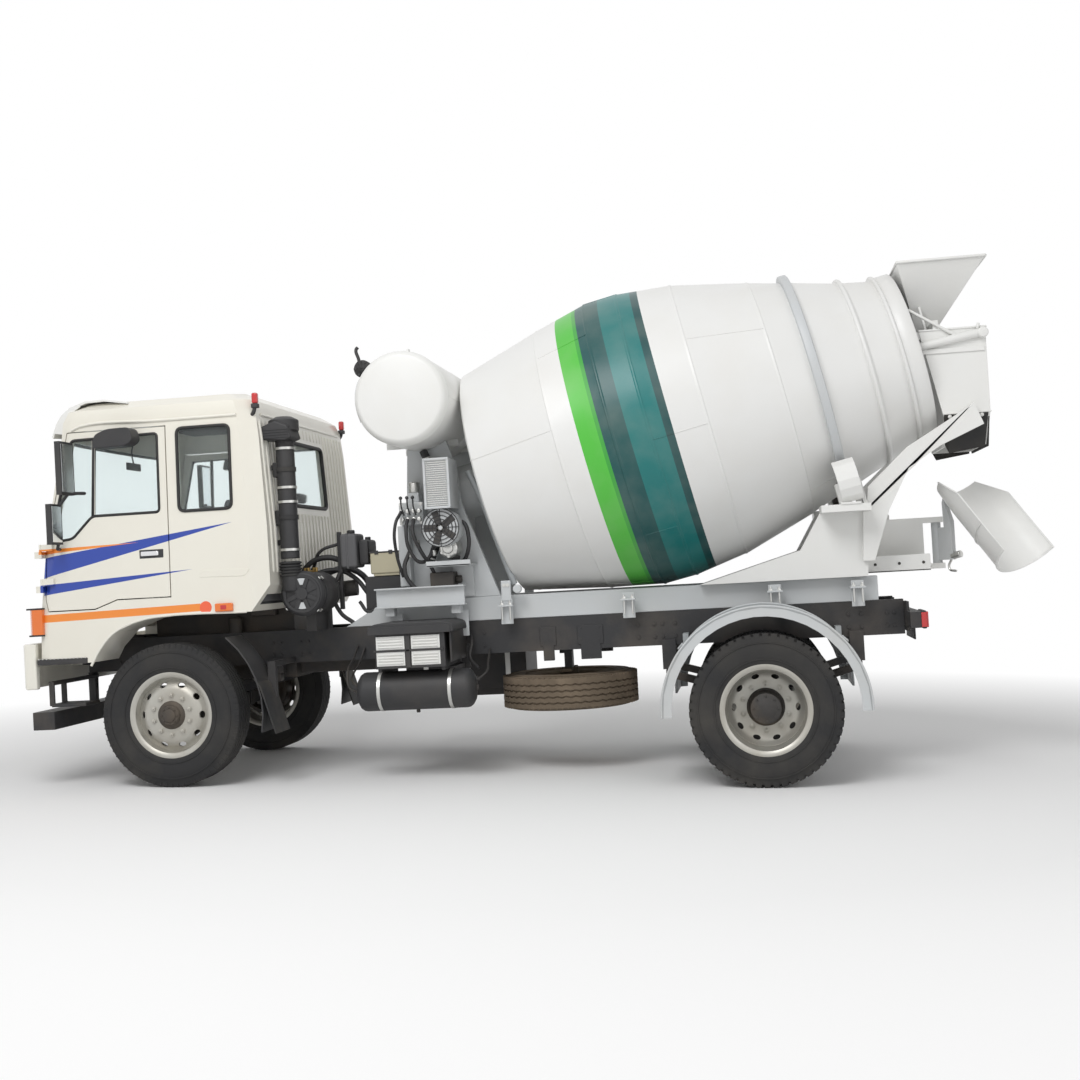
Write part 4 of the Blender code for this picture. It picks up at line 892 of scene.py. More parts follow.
ORANGE = (0.85, 0.26, 0.035)
RED_ORANGE = (0.85, 0.13, 0.05)
BLUE = (0.018, 0.055, 0.36)
cab_paint = worked("striped cab paint", (0.80, 0.775, 0.69), (0.66, 0.60, 0.50), 0.30, dusty=0.22, bump=0.004, coat=0.4)
tree = cab_paint.node_tree
split = lean_back(tree)
# (lower line, upper line, reach along the cab, colour)
PENNANTS = (
    (((-0.930, 1.232), (0.330, 1.258)), ((-0.930, 1.287), (0.330, 1.312)), (-1.100, 0.300), ORANGE),
    (((-0.980, 1.420), (0.250, 1.560)), ((-0.980, 1.500), (0.250, 1.560)), (-0.905, 0.250), BLUE),
    (((-0.980, 1.535), (0.560, 1.880)), ((-0.980, 1.690), (0.560, 1.880)), (-0.905, 0.560), BLUE),
    (((-0.980, 1.722), (-0.150, 1.775)), ((-0.980, 1.762), (-0.150, 1.775)), (-0.905, -0.150), ORANGE))
masks = [(between(tree, split, low, high, reach), colour) for low, high, reach, colour in PENNANTS]
dot_y = math_node(tree, "SUBTRACT", split.outputs["Y"], 0.338)
dot_z = math_node(tree, "SUBTRACT", split.outputs["Z"], 1.281)
dot = math_node(tree, "LESS_THAN", math_node(tree, "ADD", math_node(tree, "MULTIPLY", dot_y, dot_y),
                                             math_node(tree, "MULTIPLY", dot_z, dot_z)), 0.045 ** 2)
side = math_node(tree, "GREATER_THAN", math_node(tree, "ABSOLUTE", split.outputs["X"]), 1.1)
masks.append((math_node(tree, "MULTIPLY", dot, side), RED_ORANGE))
painted_over(cab_paint, masks)
for name in ("cab_shell", "door_left", "door_right"):
    softened[name].data.materials[0] = cab_paint
print("cab paint has", len(masks), "painted shapes")

# %% [markdown]
# ## More finishes
# Lamps are coloured plastic with a bright coat; seals are dull rubber; clamps
# and clips are zinc plated.

# %% Small finishes
seal = worked("window seal", (0.018, 0.018, 0.018), (0.12, 0.11, 0.10), 0.65, dusty=0.2, bump=0.01)
amber = worked("amber lens", (0.80, 0.17, 0.012), (0.50, 0.22, 0.10), 0.18, dusty=0.15, bump=0.01, fine=220.0, coat=0.8)
red_lens = worked("red lens", (0.55, 0.012, 0.012), (0.36, 0.08, 0.06), 0.18, dusty=0.15, bump=0.01, fine=220.0, coat=0.8)
clear_lens = worked("clear lens", (0.75, 0.77, 0.78), (0.60, 0.58, 0.52), 0.12, 0.3, dusty=0.15, bump=0.02, fine=160.0, coat=0.9)
zinc = worked("zinc plate", (0.62, 0.62, 0.60), (0.42, 0.38, 0.32), 0.30, 0.85, dusty=0.3, bump=0.01)
chrome = worked("bright plate", (0.75, 0.75, 0.76), (0.50, 0.48, 0.44), 0.12, 0.95, dusty=0.12, bump=0.004)
trim_grey = worked("interior trim", (0.12, 0.12, 0.125), (0.20, 0.18, 0.16), 0.75, dusty=0.15, bump=0.03, fine=260.0)
flap_rubber = worked("rubber flap", (0.025, 0.025, 0.026), (0.16, 0.14, 0.11), 0.75, dusty=0.5, bump=0.03)
beige = worked("beige moulding", (0.50, 0.46, 0.33), (0.36, 0.31, 0.22), 0.50, dusty=0.3, bump=0.01)
mirror_glass = worked("mirror glass", (0.80, 0.82, 0.84), (0.6, 0.6, 0.6), 0.04, 1.0, dusty=0.05, bump=0.0)
print("small finishes made")

# %% [markdown]
# ## Following the cab's skin
# The cab narrows towards its roof. These two functions give the place of its
# side and rear wall at any height, so that seals and ribs lie on the metal.

# %% Where the cab's walls are
# (height, front at the corners, rear, half width)
CAB_LEVELS = ((0.930, -0.990, 0.800, 1.180), (1.270, -0.980, 0.800, 1.170), (1.835, -0.920, 0.790, 1.150),
              (2.480, -0.790, 0.755, 1.128), (2.680, -0.765, 0.735, 1.118), (2.760, -0.730, 0.705, 1.095),
              (2.820, -0.640, 0.620, 0.980))


def cab_at(z):
    """Front, rear and half width of the cab at a height of the level frame."""
    for low, high in zip(CAB_LEVELS, CAB_LEVELS[1:]):
        if z <= high[0]:
            t = (z - low[0]) / (high[0] - low[0])
            return [a + (b - a) * t for a, b in zip(low[1:], high[1:])]
    return list(CAB_LEVELS[-1][1:])


def ring_tube(name, points, radius, sides=8):
    """A tube that closes on itself, with corners kept tight."""
    piece = tube(name, list(points) + [points[0], points[1]], radius, sides, smooth=False)
    return smooth_by(piece, 60)


def rounded(outline, radius, steps=4):
    """An outline with its corners rounded by short arcs."""
    soft = []
    count = len(outline)
    for i in range(count):
        before, here, after = (Vector(outline[(i + k) % count]) for k in (-1, 0, 1))
        a, b = (before - here).normalized(), (after - here).normalized()
        reach = min(radius, (before - here).length * 0.45, (after - here).length * 0.45)
        start, end = here + a * reach, here + b * reach
        for k in range(steps + 1):
            t = k / steps
            soft.append(tuple(start * (1 - t) ** 2 + here * (2 * t * (1 - t)) + end * t ** 2))
    return soft


DOOR_WINDOW = ((-0.825, 1.810), (-0.655, 1.830), (-0.500, 1.985), (0.015, 1.985), (0.015, 2.555), (-0.645, 2.545))
SIDE_WINDOW = ((0.165, 1.980), (0.560, 1.980), (0.560, 2.580), (0.165, 2.580))
REAR_WINDOW = ((-0.400, 2.010), (0.400, 2.010), (0.400, 2.500), (-0.400, 2.500))
FRONT_WINDOW = ((-0.960, 1.620), (0.960, 1.620), (0.900, 2.560), (-0.900, 2.560))
print("half width at the window sill:", round(cab_at(1.985)[2], 3))

# %% Window seals
for sign, side in ((1.0, "left"), (-1.0, "right")):
    on_side = [(sign * (cab_at(z)[2] + 0.001), y, z) for y, z in rounded(SIDE_WINDOW, 0.045)]
    settle(ring_tube("side_window_seal_" + side, on_side, 0.012), "cab", seal)
    on_door = [(sign * (cab_at(z)[2] - 0.004), y, z) for y, z in rounded(DOOR_WINDOW, 0.030)]
    parts = [ring_tube("door_seal", on_door, 0.011)]
    foot, head = 1.985, 2.550
    xs = [sign * (cab_at(z)[2] - 0.008) for z in (foot, head)]
    parts.append(tube("quarter_light_bar", [(xs[0], -0.495, foot), (xs[1], -0.470, head)], 0.014, 8, smooth=False))
    settle(joined("door_window_seal_" + side, parts), "door_" + side, seal)
rear_seal = ring_tube("rear_window_seal", [(x, cab_at(z)[1] + 0.001, z) for x, z in rounded(REAR_WINDOW, 0.05)], 0.016)
settle(rear_seal, "cab", seal)


def front_skin(x, z):
    """Y of the cab's front at a place, following its bulge."""
    front, _, half = cab_at(z)
    x = abs(x)
    bends = ((half * 0.0, front - 0.045), (half * 0.5, front - 0.035), (half - 0.120, front - 0.003), (half - 0.035, front + 0.045))
    for (x0, y0), (x1, y1) in zip(bends, bends[1:]):
        if x <= x1:
            return y0 + (y1 - y0) * (x - x0) / (x1 - x0)
    return bends[-1][1]


front_points = []
edges = list(FRONT_WINDOW)
for (x0, z0), (x1, z1) in zip(edges, edges[1:] + edges[:1]):
    steps = 8 if abs(x1 - x0) > 0.5 else 2
    front_points += [(x0 + (x1 - x0) * k / steps, z0 + (z1 - z0) * k / steps) for k in range(steps)]
windscreen_seal = ring_tube("windscreen_seal", [(x, front_skin(x, z) - 0.002, z) for x, z in front_points], 0.018)
settle(windscreen_seal, "cab", seal)
print("window seals in place")

# %% [markdown]
# ## The rear wall
# The cab's rear wall is stiffened by pressed upright ribs. Those beside the
# window run its whole height and those under it stop at its sill.

# %% Rear wall ribs
ribs = []
for k in range(-12, 13):
    x = k * 0.083
    tall = 2.625 if abs(x) > 0.45 else 1.955
    heights = (1.500, 1.520, 1.700, tall - 0.02, tall) if tall < 2.0 else (1.500, 1.520, 1.835, 2.480, tall - 0.02, tall)
    sunk = [0.020] + [0.006] * (len(heights) - 2) + [0.020]
    ribs.append(tube("rib", [(x, cab_at(z)[1] - deep, z) for z, deep in zip(heights, sunk)], 0.017, 10, smooth=False))
for x in [k * 0.083 for k in range(-5, 6)]:
    ribs.append(tube("rib", [(x, cab_at(z)[1] - deep, z) for z, deep in ((2.545, 0.02), (2.555, 0.008), (2.615, 0.008), (2.625, 0.02))],
                     0.015, 8, smooth=False))
settle(joined("rear_wall_ribs", ribs), "cab", ivory, shade=50)
print("ribs:", len(ribs))

# %% [markdown]
# ## Roof edge, visor and lamps
# A gutter runs round the roof. The visor is a bowed sheet over the windscreen,
# and two red marker lamps stand on black stalks at the rear corners.

# %% Roof trim
for sign, side in ((1.0, "left"), (-1.0, "right")):
    run = [(sign * (cab_at(2.640)[2] + 0.004), y, 2.640 + (0.008 if y > -0.6 else -0.02)) for y in (-0.640, -0.560, 0.0, 0.620)]
    settle(tube("roof_gutter_" + side, run, 0.011, 8), "cab", ivory, shade=60)
rear_gutter = tube("roof_gutter_rear", [(x, cab_at(2.655)[1] + 0.002, 2.655) for x in (-0.95, 0.0, 0.95)], 0.010, 8)
settle(rear_gutter, "cab", ivory, shade=60)

visor_line = [(-0.235, 2.822), (-0.420, 2.852), (-0.560, 2.848), (-0.680, 2.810), (-0.760, 2.740), (-0.805, 2.660), (-0.828, 2.605)]
under = [(y + 0.010, z - 0.014) for y, z in reversed(visor_line)]
visor = pushed("sun_visor", visor_line + under, "X", -1.0, 1.0)
edit(visor)
bpy.ops.mesh.bisect(plane_co=(0, 0, 0), plane_no=(1, 0, 0))
for x in (-0.9, -0.7, -0.45, 0.45, 0.7, 0.9):
    bpy.ops.mesh.select_all(action="SELECT")
    bpy.ops.mesh.bisect(plane_co=(x, 0, 0), plane_no=(1, 0, 0))
bpy.ops.object.mode_set(mode="OBJECT")
for vertex in visor.data.vertices:
    side_share = abs(vertex.co.x)
    vertex.co.y -= 0.050 * (1.0 - side_share ** 2) + 0.005
    vertex.co.z += 0.028 * (1.0 - side_share ** 4) - 0.012
    vertex.co.x *= 1.045
visor_cheek = [(-0.810, 2.615), (-0.795, 2.680), (-0.750, 2.745), (-0.685, 2.795), (-0.600, 2.815), (-0.600, 2.800), (-0.660, 2.760),
               (-0.700, 2.690), (-0.715, 2.600)]
cheeks = [pushed("cheek", visor_cheek, "X", *sorted((s * 1.038, s * 1.052))) for s in (1.0, -1.0)]
visor = joined("sun_visor", [visor] + cheeks)
settle(visor, "cab", mixer_white, shade=40)

for sign, side in ((1.0, "left"), (-1.0, "right")):
    x = sign * 1.035
    stalk = joined("marker", [tube("stalk", [(x, 0.690, 2.640), (x + sign * 0.03, 0.730, 2.660), (x + sign * 0.03, 0.745, 2.720)], 0.014, 8),
                              bar("marker_foot", sorted((x + sign * 0.005, x + sign * 0.055)), (0.720, 0.770), (2.690, 2.722), 0.006)])
    settle(stalk, "cab", black_plastic)
    lens = bar("marker_lens", sorted((x + sign * 0.008, x + sign * 0.052)), (0.724, 0.768), (2.722, 2.800), 0.012)
    lens.name = "marker_lamp_" + side
    settle(lens, "cab", red_lens)
print("roof trim in place")

# %% [markdown]
# ## Lamps, handle and pressed panels on the sides
# Each side has an amber corner lamp over the bumper, a repeater behind the
# stripe, a recessed door handle and a long pressed hollow on the rear panel.

# %% Side fittings
for sign, side in ((1.0, "left"), (-1.0, "right")):
    corner = pushed("corner_lamp", [(sign * x, y) for x, y in rounded(((1.184, -0.905), (1.184, -0.985), (1.140, -1.022), (1.040, -1.040),
                                                                       (1.040, -0.960), (1.140, -0.905)), 0.012, 3)], "Z", 1.146, 1.330)
    broken_edges(corner, 0.006)
    corner.name = "corner_lamp_" + side
    settle(corner, "cab", amber)
    bezel = [bar("bezel", sorted((sign * 1.03, sign * 1.186)), (-1.026 if z > 1.2 else -1.012, -0.904), (z, z + 0.012), 0.003) for z in (1.135, 1.329)]
    settle(joined("corner_bezel_" + side, bezel), "cab", seal)
    skin = cab_at(1.28)[2]
    repeater = bar("repeater", sorted((sign * (skin - 0.004), sign * (skin + 0.022))), (0.412, 0.545), (1.247, 1.305), 0.010)
    repeater.name = "side_repeater_" + side
    settle(repeater, "cab", amber)
    middle = bar("repeater_reflector", sorted((sign * (skin + 0.01), sign * (skin + 0.0245))), (0.455, 0.500), (1.260, 1.292), 0.004)
    middle.name = "side_reflector_" + side
    settle(middle, "cab", red_lens)

    skin = cab_at(1.69)[2]
    cup = bar("handle_cup", sorted((sign * (skin - 0.012), sign * (skin + 0.003))), (-0.148, 0.035), (1.655, 1.718), 0.006)
    cup.name = "door_handle_cup_" + side
    settle(cup, "door_" + side, black_plastic)
    lever = pushed("handle", [(sign * (skin + 0.002), -0.140), (sign * (skin + 0.014), -0.130), (sign * (skin + 0.014), -0.010),
                              (sign * (skin + 0.002), 0.000)], "Z", 1.673, 1.706)
    broken_edges(lever, 0.004)
    lever.name = "door_handle_" + side
    settle(lever, "door_" + side, chrome)

    skin = cab_at(1.52)[2]
    groove = pushed("hollow", [(y, z) for y, z in rounded(((0.290, 1.498), (0.640, 1.490), (0.680, 1.543), (0.325, 1.549)), 0.020, 3)], "X",
                    *sorted((sign * (skin - 0.006), sign * (skin + 0.004))))
    broken_edges(groove, 0.0035)
    groove.name = "pressed_panel_" + side
    settle(groove, "cab", cab_paint)

    lip = [(-0.548, 0.905), (-0.478, 1.022), (-0.358, 1.142), (-0.158, 1.217), (0.000, 1.237), (0.640, 1.237)]
    trim = tube("arch_lip", [(sign * (cab_at(z)[2] - 0.006), y, z) for y, z in lip], 0.010, 8)
    trim.name = "arch_lip_" + side
    settle(trim, "cab", ivory, shade=60)
    sill = bar("sill", sorted((sign * 1.060, sign * 1.184)), (-0.960, -0.570), (0.925, 0.968), 0.006)
    sill.name = "step_sill_" + side
    settle(sill, "cab", black_plastic)
    well = [bar("tread_rib", sorted((sign * 1.068, sign * 1.188)), (-0.950 + 0.03 * k, -0.940 + 0.03 * k), (0.964, 0.973), 0.002)
            for k in range(13)]
    settle(joined("step_ribs_" + side, well), "cab", zinc)
print("side fittings in place")

# %% [markdown]
# ## The kerb mirror
# A flat black shell hangs over each door window on a short arm, so that the
# driver sees the kerb.

# %% Kerb mirrors
for sign, side in ((1.0, "left"), (-1.0, "right")):
    skin = cab_at(2.56)[2]
    outline = rounded(((-0.400, 2.455), (-0.375, 2.555), (-0.280, 2.590), (-0.110, 2.592), (-0.085, 2.500), (-0.140, 2.462)), 0.030, 3)
    shell_piece = pushed("kerb_mirror", outline, "X", *sorted((sign * (skin + 0.050), sign * (skin + 0.190))))
    broken_edges(shell_piece, 0.024, segments=3)
    arm = tube("kerb_arm", [(sign * (skin - 0.010), -0.240, 2.578), (sign * (skin + 0.05), -0.240, 2.60), (sign * (skin + 0.100), -0.240, 2.56)], 0.010, 8)
    piece = joined("kerb_mirror_" + side, [shell_piece, arm])
    settle(piece, "door_" + side, black_plastic)
print("kerb mirrors in place")

# %% [markdown]
# ## Mirror glass
# The two door mirrors are black shells; the silvered glass sits in their rear
# faces, with a narrow rubber edge left round it.

# %% Mirror glass
MIRROR_FACES = (((1.205, 1.376), -0.601, (2.158, 2.502)), ((1.224, 1.357), -0.701, (1.806, 2.064)))
for sign, side in ((1.0, "left"), (-1.0, "right")):
    plates = [bar("mirror_glass", sorted((sign * x[0], sign * x[1])), (y, y + 0.004), z, 0.002) for x, y, z in MIRROR_FACES]
    settle(joined("mirror_glass_" + side, plates), "door_" + side, mirror_glass)
print("mirror glass in place")
# %% [markdown]
# ## A few short cuts for fittings
# Small fittings are drawn level, joined by finish and settled together. Bolt
# heads are spun with six steps, so they come out as hexagons.

# %% Helpers: fittings


def placed(name, body, material, pieces, shade=None):
    """Join level pieces that share a finish and settle them on one body."""
    whole = joined(name, pieces) if len(pieces) > 1 else pieces[0]
    whole.name = name
    return settle(whole, body, material, shade=shade)


def bolt(at, along, radius=0.011, height=0.009):
    """A hexagon head on a washer."""
    head = spun("bolt", [(0.0, 0.0), (0.0, radius * 1.45), (height * 0.3, radius * 1.45), (height * 0.3, radius),
                         (height, radius * 0.92), (height * 1.05, 0.0)], at, along, steps=6)
    return head


def sausage(name, start, end, radius, soft=0.25):
    """A round bar with softened ends between two points."""
    start, end = Vector(start), Vector(end)
    length = (end - start).length
    r = min(radius * soft, length * 0.4)
    profile = [(0.0, 0.0), (0.0, radius - r), (r * 0.3, radius - r * 0.3), (r, radius), (length - r, radius),
               (length - r * 0.3, radius - r * 0.3), (length, radius - r), (length, 0.0)]
    return spun(name, profile, start, end - start, steps=24)


def clip(at, along, radius):
    """A hose clip: a thin band round a hose."""
    band = spun("clip", [(-0.006, radius), (-0.006, radius + 0.003), (0.006, radius + 0.003), (0.006, radius)],
                at, along, steps=24, closed=True)
    return band


print("fitting helpers ready")

# %% [markdown]
# ## Water tank
# A rolled barrel with flat ends pressed in and a soft rim. A weld runs round
# each end, and a seam along the back. The black filler with its lever sits on
# the front shoulder, and lifting eyes on top.

# %% Water tank
TANK = (0.0, 1.785, 2.700)
tank_profile = [(-0.972, 0.0), (-0.972, 0.296), (-0.968, 0.309), (-0.957, 0.320), (-0.945, 0.331), (-0.928, 0.338),
                (-0.905, 0.340), (-0.903, 0.3425), (-0.895, 0.3425), (-0.893, 0.340), (-0.006, 0.340), (-0.004, 0.3418),
                (0.004, 0.3418), (0.006, 0.340), (0.893, 0.340), (0.895, 0.3425), (0.903, 0.3425), (0.905, 0.340),
                (0.928, 0.338), (0.945, 0.331), (0.957, 0.320), (0.968, 0.309), (0.972, 0.296), (0.972, 0.0)]
barrel = spun("water_tank_barrel", tank_profile, TANK, (1.0, 0.0, 0.0), steps=96)
placed("water_tank_barrel", "root", mixer_white, [barrel], shade=50)
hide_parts("water_tank")
eyes = []
for x in (-0.62, 0.62):
    eyes.append(around("eye", bar("eye_plate", (x - 0.045, x + 0.045), (1.781, 1.789), (3.028, 3.058), 0.003), TANK, (1, 0, 0), 1))
    eyes.append(spun("eye_ring", [(-0.007, 0.020), (-0.007, 0.034), (0.007, 0.034), (0.007, 0.020)], (x, 1.785, 3.066),
                     (0.0, 1.0, 0.0), steps=24, closed=True))
for x in (-0.30, 0.30):
    eyes.append(bar("saddle_strap", (x - 0.004, x + 0.004), (1.50, 2.06), (2.392, 2.440), 0.002))
seam_run = bar("seam", (-0.900, 0.900), (2.120, 2.1275), (2.690, 2.698), 0.001)
placed("water_tank_eyes", "root", mixer_white, eyes + [seam_run], shade=40)
cap_at = Vector((0.560, 1.420, 2.985))
neck = sausage("neck", (0.560, 1.560, 2.905), (0.560, 1.440, 2.972), 0.046)
lid = spun("lid", [(-0.045, 0.0), (-0.045, 0.058), (-0.036, 0.066), (0.026, 0.066), (0.036, 0.058), (0.040, 0.030),
                   (0.052, 0.026), (0.054, 0.0)], cap_at, (1.0, 0.0, 0.0), steps=40)
lugs = around("lugs", bar("lug", (cap_at.x + 0.030, cap_at.x + 0.042), (cap_at.y + 0.040, cap_at.y + 0.064),
                          (cap_at.z - 0.008, cap_at.z + 0.008), 0.003), cap_at, (1, 0, 0), 6)
lever = tube("lever", [(0.610, 1.420, 2.985), (0.618, 1.402, 3.060), (0.616, 1.388, 3.128), (0.616, 1.402, 3.142)], 0.0125, 10)
placed("tank_filler", "root", black_plastic, [neck, lid, lugs, lever], shade=40)
gauge = tube("sight_glass", [(0.900, 1.478, 2.55), (0.900, 1.452, 2.64), (0.900, 1.445, 2.72), (0.900, 1.462, 2.82), (0.900, 1.49, 2.87)], 0.0075, 8)
placed("tank_sight_glass", "root", clear_lens, [gauge], shade=60)
print("water tank finished")

# %% [markdown]
# ## Hydraulics behind the cab
# Between tank and drum stand the oil cooler with its fan, the drum motor, a
# valve chest with levers, and the thick water hose that drops from the tank.

# %% Oil cooler with fan
cooler_x = 0.823
ribs = [bar("fin", (cooler_x - 0.004, cooler_x + 0.007), (1.912, 2.068), (1.918 + 0.0155 * k, 1.924 + 0.0155 * k), 0.001) for k in range(22)]
placed("cooler_fins", "root", zinc, ribs)
frame_bars = [bar("rim", (cooler_x - 0.006, cooler_x + 0.014), (1.894, 2.086), z, 0.004) for z in ((1.896, 1.914), (2.246, 2.264))]
frame_bars += [bar("rim", (cooler_x - 0.006, cooler_x + 0.014), y, (1.896, 2.264), 0.004) for y in ((1.894, 1.912), (2.068, 2.086))]
frame_bars += [bolt((cooler_x + 0.012, y, z), (1, 0, 0), 0.007, 0.007) for y in (1.903, 2.077) for z in (1.905, 2.080, 2.255)]
placed("cooler_frame", "root", frame_grey, frame_bars)
fan_at = (0.784, 1.990, 1.760)
guard = [spun("ring", [(-0.004, r - 0.003), (-0.004, r + 0.003), (0.004, r + 0.003), (0.004, r - 0.003)], fan_at, (1, 0, 0), 48, True)
         for r in (0.035, 0.062, 0.089, 0.116, 0.137)]
guard.append(around("spokes", bar("spoke", (0.780, 0.788), (1.988, 1.992), (1.790, 1.900), 0.001), fan_at, (1, 0, 0), 8))
placed("fan_guard", "root", black_plastic, guard)
blade = bar("blade", (0.7805, 0.7835), (1.965, 2.015), (1.775, 1.885), 0.001)
blades = around("blades", turned(blade, (0.782, 1.99, 1.83), (0, 0, 1), 0), fan_at, (1, 0, 0), 5, 18)
placed("fan_blades", "root", cast, [blades])
print("oil cooler finished")

# %% Drum motor, valves and hoses
chest = [bar("chest", (0.430, 0.590), (1.640, 1.822), (1.800, 1.968), 0.010),
         bar("chest_top", (0.440, 0.560), (1.700, 1.790), (1.966, 2.040), 0.008),
         bar("chest_rail", (0.430, 0.520), (1.604, 1.690), (1.345, 1.800), 0.008),
         bar("shelf", (0.430, 0.700), (1.850, 2.180), (1.478, 1.492), 0.003),
         bar("shelf_lip", (0.690, 0.700), (1.850, 2.180), (1.478, 1.520), 0.002),
         bar("shelf_leg", (0.430, 0.450), (1.990, 2.150), (1.250, 1.480), 0.004)]
placed("valve_chest", "root", frame_grey, chest)
metal = [sausage("spool", (0.592, y, z), (0.640, y, z), 0.016) for y in (1.670, 1.715, 1.760, 1.800) for z in (1.840, 1.900)]
metal += [bolt((0.588, y, z), (1, 0, 0), 0.010, 0.009) for y in (1.655, 1.807) for z in (1.815, 1.952)]
metal += [sausage("filter", (0.500, 1.745, 2.036), (0.500, 1.745, 2.120), 0.040),
          sausage("motor", (0.470, 2.010, 1.610), (0.640, 2.010, 1.610), 0.072),
          sausage("motor_nose", (0.635, 2.010, 1.610), (0.672, 2.010, 1.610), 0.040)]
metal += [around("motor_bolts", bolt((0.641, 2.010, 1.668), (1, 0, 0), 0.009, 0.009), (0.64, 2.010, 1.610), (1, 0, 0), 6)]
for y, z in ((1.930, 1.700), (2.060, 1.705), (1.885, 1.560), (1.760, 1.640), (1.700, 1.560)):
    metal.append(sausage("union", (0.560, y, z), (0.560, y, z + 0.045), 0.019))
placed("hydraulic_metal", "root", zinc, metal, shade=45)
hoses = [tube("water_hose", [(0.470, 1.822, 2.350), (0.500, 1.881, 2.212), (0.510, 1.915, 2.076), (0.505, 1.921, 1.941),
                             (0.500, 1.925, 1.781), (0.505, 1.899, 1.675), (0.500, 1.834, 1.505)], 0.031, 12),
         tube("hose", [(0.560, 1.930, 1.745), (0.585, 1.945, 1.830), (0.590, 2.030, 1.850), (0.575, 2.060, 1.750)], 0.015),
         tube("hose", [(0.560, 2.060, 1.750), (0.620, 2.120, 1.800), (0.640, 2.165, 1.700), (0.600, 2.140, 1.560), (0.520, 2.080, 1.500)], 0.015),
         tube("hose", [(0.560, 1.885, 1.605), (0.600, 1.930, 1.660), (0.615, 1.985, 1.560), (0.560, 2.075, 1.540)], 0.014),
         tube("hose", [(0.640, 1.715, 1.840), (0.690, 1.712, 1.760), (0.660, 1.730, 1.600), (0.600, 1.800, 1.520), (0.560, 1.885, 1.605)], 0.014),
         tube("hose", [(0.640, 1.760, 1.840), (0.700, 1.764, 1.740), (0.665, 1.800, 1.620), (0.560, 1.870, 1.450), (0.520, 1.900, 1.330)], 0.014),
         tube("hose", [(0.560, 1.700, 1.605), (0.590, 1.660, 1.480), (0.560, 1.700, 1.360), (0.540, 1.800, 1.290), (0.500, 1.900, 1.300)], 0.017),
         tube("hose", [(0.640, 1.670, 1.900), (0.720, 1.640, 1.800), (0.650, 1.620, 1.600), (0.560, 1.640, 1.420)], 0.012)]
placed("hydraulic_hoses", "root", black_plastic, hoses, shade=60)
clips = [clip((0.482, 1.850, 2.285), (0.03, 0.06, -0.14), 0.0315), clip((0.500, 1.850, 1.545), (0.0, -0.065, -0.17), 0.0315)]
placed("hose_clips", "root", zinc, clips)
pump = [bar("pump_box", (0.440, 0.600), (1.850, 2.030), (1.300, 1.440), 0.012), sausage("pump_port", (0.520, 2.030, 1.380), (0.520, 2.075, 1.380), 0.030)]
placed("water_pump", "root", cast, pump, shade=40)
levers = [tube("lever", [(0.640, y, 1.870), (0.665, y - 0.01, 1.930), (0.668, y - 0.012, 1.990)], 0.006, 8) for y in (1.690, 1.737, 1.780)]
knobs = [spun("knob", [(-0.014, 0.0), (-0.010, 0.010), (0.0, 0.014), (0.010, 0.010), (0.014, 0.0)], (0.668, y - 0.012, 1.998), (0, 0, 1), 16)
         for y in (1.690, 1.737, 1.780)]
placed("valve_levers", "root", black_plastic, levers + knobs, shade=50)
back_pipe = tube("back_pipe", [(0.455, 2.150, 2.180), (0.455, 2.235, 1.980), (0.455, 2.330, 1.690), (0.455, 2.400, 1.480), (0.455, 2.455, 1.320)], 0.024, 12)
placed("flush_pipe", "root", guard_grey, [back_pipe], shade=60)
print("hydraulics finished")

# %% [markdown]
# ## Platform beam and subframe clamps
# A short beam carries the walkway beside the front pedestal. Clamp brackets
# bolt the subframe to the chassis rails, and the rails carry rows of bolts.

# %% Beam, clamps and bolts
beam = [bar("web", (0.600, 0.612), (1.440, 2.105), (1.200, 1.330), 0.002),
        bar("flange", (0.555, 0.655), (1.435, 2.110), (1.328, 1.340), 0.003), bar("flange", (0.555, 0.655), (1.435, 2.110), (1.192, 1.204), 0.003)]
beam += [bar("bearer", (0.525, 0.610), (y, y + 0.070), (1.130, 1.200), 0.004) for y in (1.500, 2.000)]
for sign in (-1.0, 1.0):
    for y in (1.520, 2.020):
        beam.append(bar("gusset", sorted((sign * 0.522, sign * 0.534)), (y, y + 0.090), (0.960, 1.150), 0.002))
    for y in (2.400, 3.300, 4.350, 4.930):
        beam.append(bar("clamp_plate", sorted((sign * 0.522, sign * 0.534)), (y - 0.045, y + 0.045), (1.030, 1.215), 0.003))
        beam.append(bar("clamp_ledge", sorted((sign * 0.522, sign * 0.590)), (y - 0.055, y + 0.055), (1.160, 1.172), 0.002))
    beam.append(bar("hitch_plate", sorted((sign * 0.522, sign * 0.540)), (2.366, 2.440), (1.200, 1.350), 0.006))
    beam.append(sausage("hitch_tube", (sign * 0.525, 2.490, 1.285), (sign * 0.570, 2.490, 1.285), 0.032))
placed("platform_beam", "root", frame_grey, beam)
studs = []
for sign in (-1.0, 1.0):
    for y in (2.400, 3.300, 4.350, 4.930):
        for dy in (-0.030, 0.030):
            studs.append(sausage("stud", (sign * 0.566, y + dy, 1.060), (sign * 0.566, y + dy, 1.200), 0.007))
            studs.append(bolt((sign * 0.566, y + dy, 1.172), (0, 0, 1), 0.013, 0.014))
    for y in (2.390, 2.418):
        studs.append(bolt((sign * 0.540, y, 1.315), (sign, 0, 0), 0.011, 0.010))
placed("clamp_studs", "root", zinc, studs)
rail_bolts = []
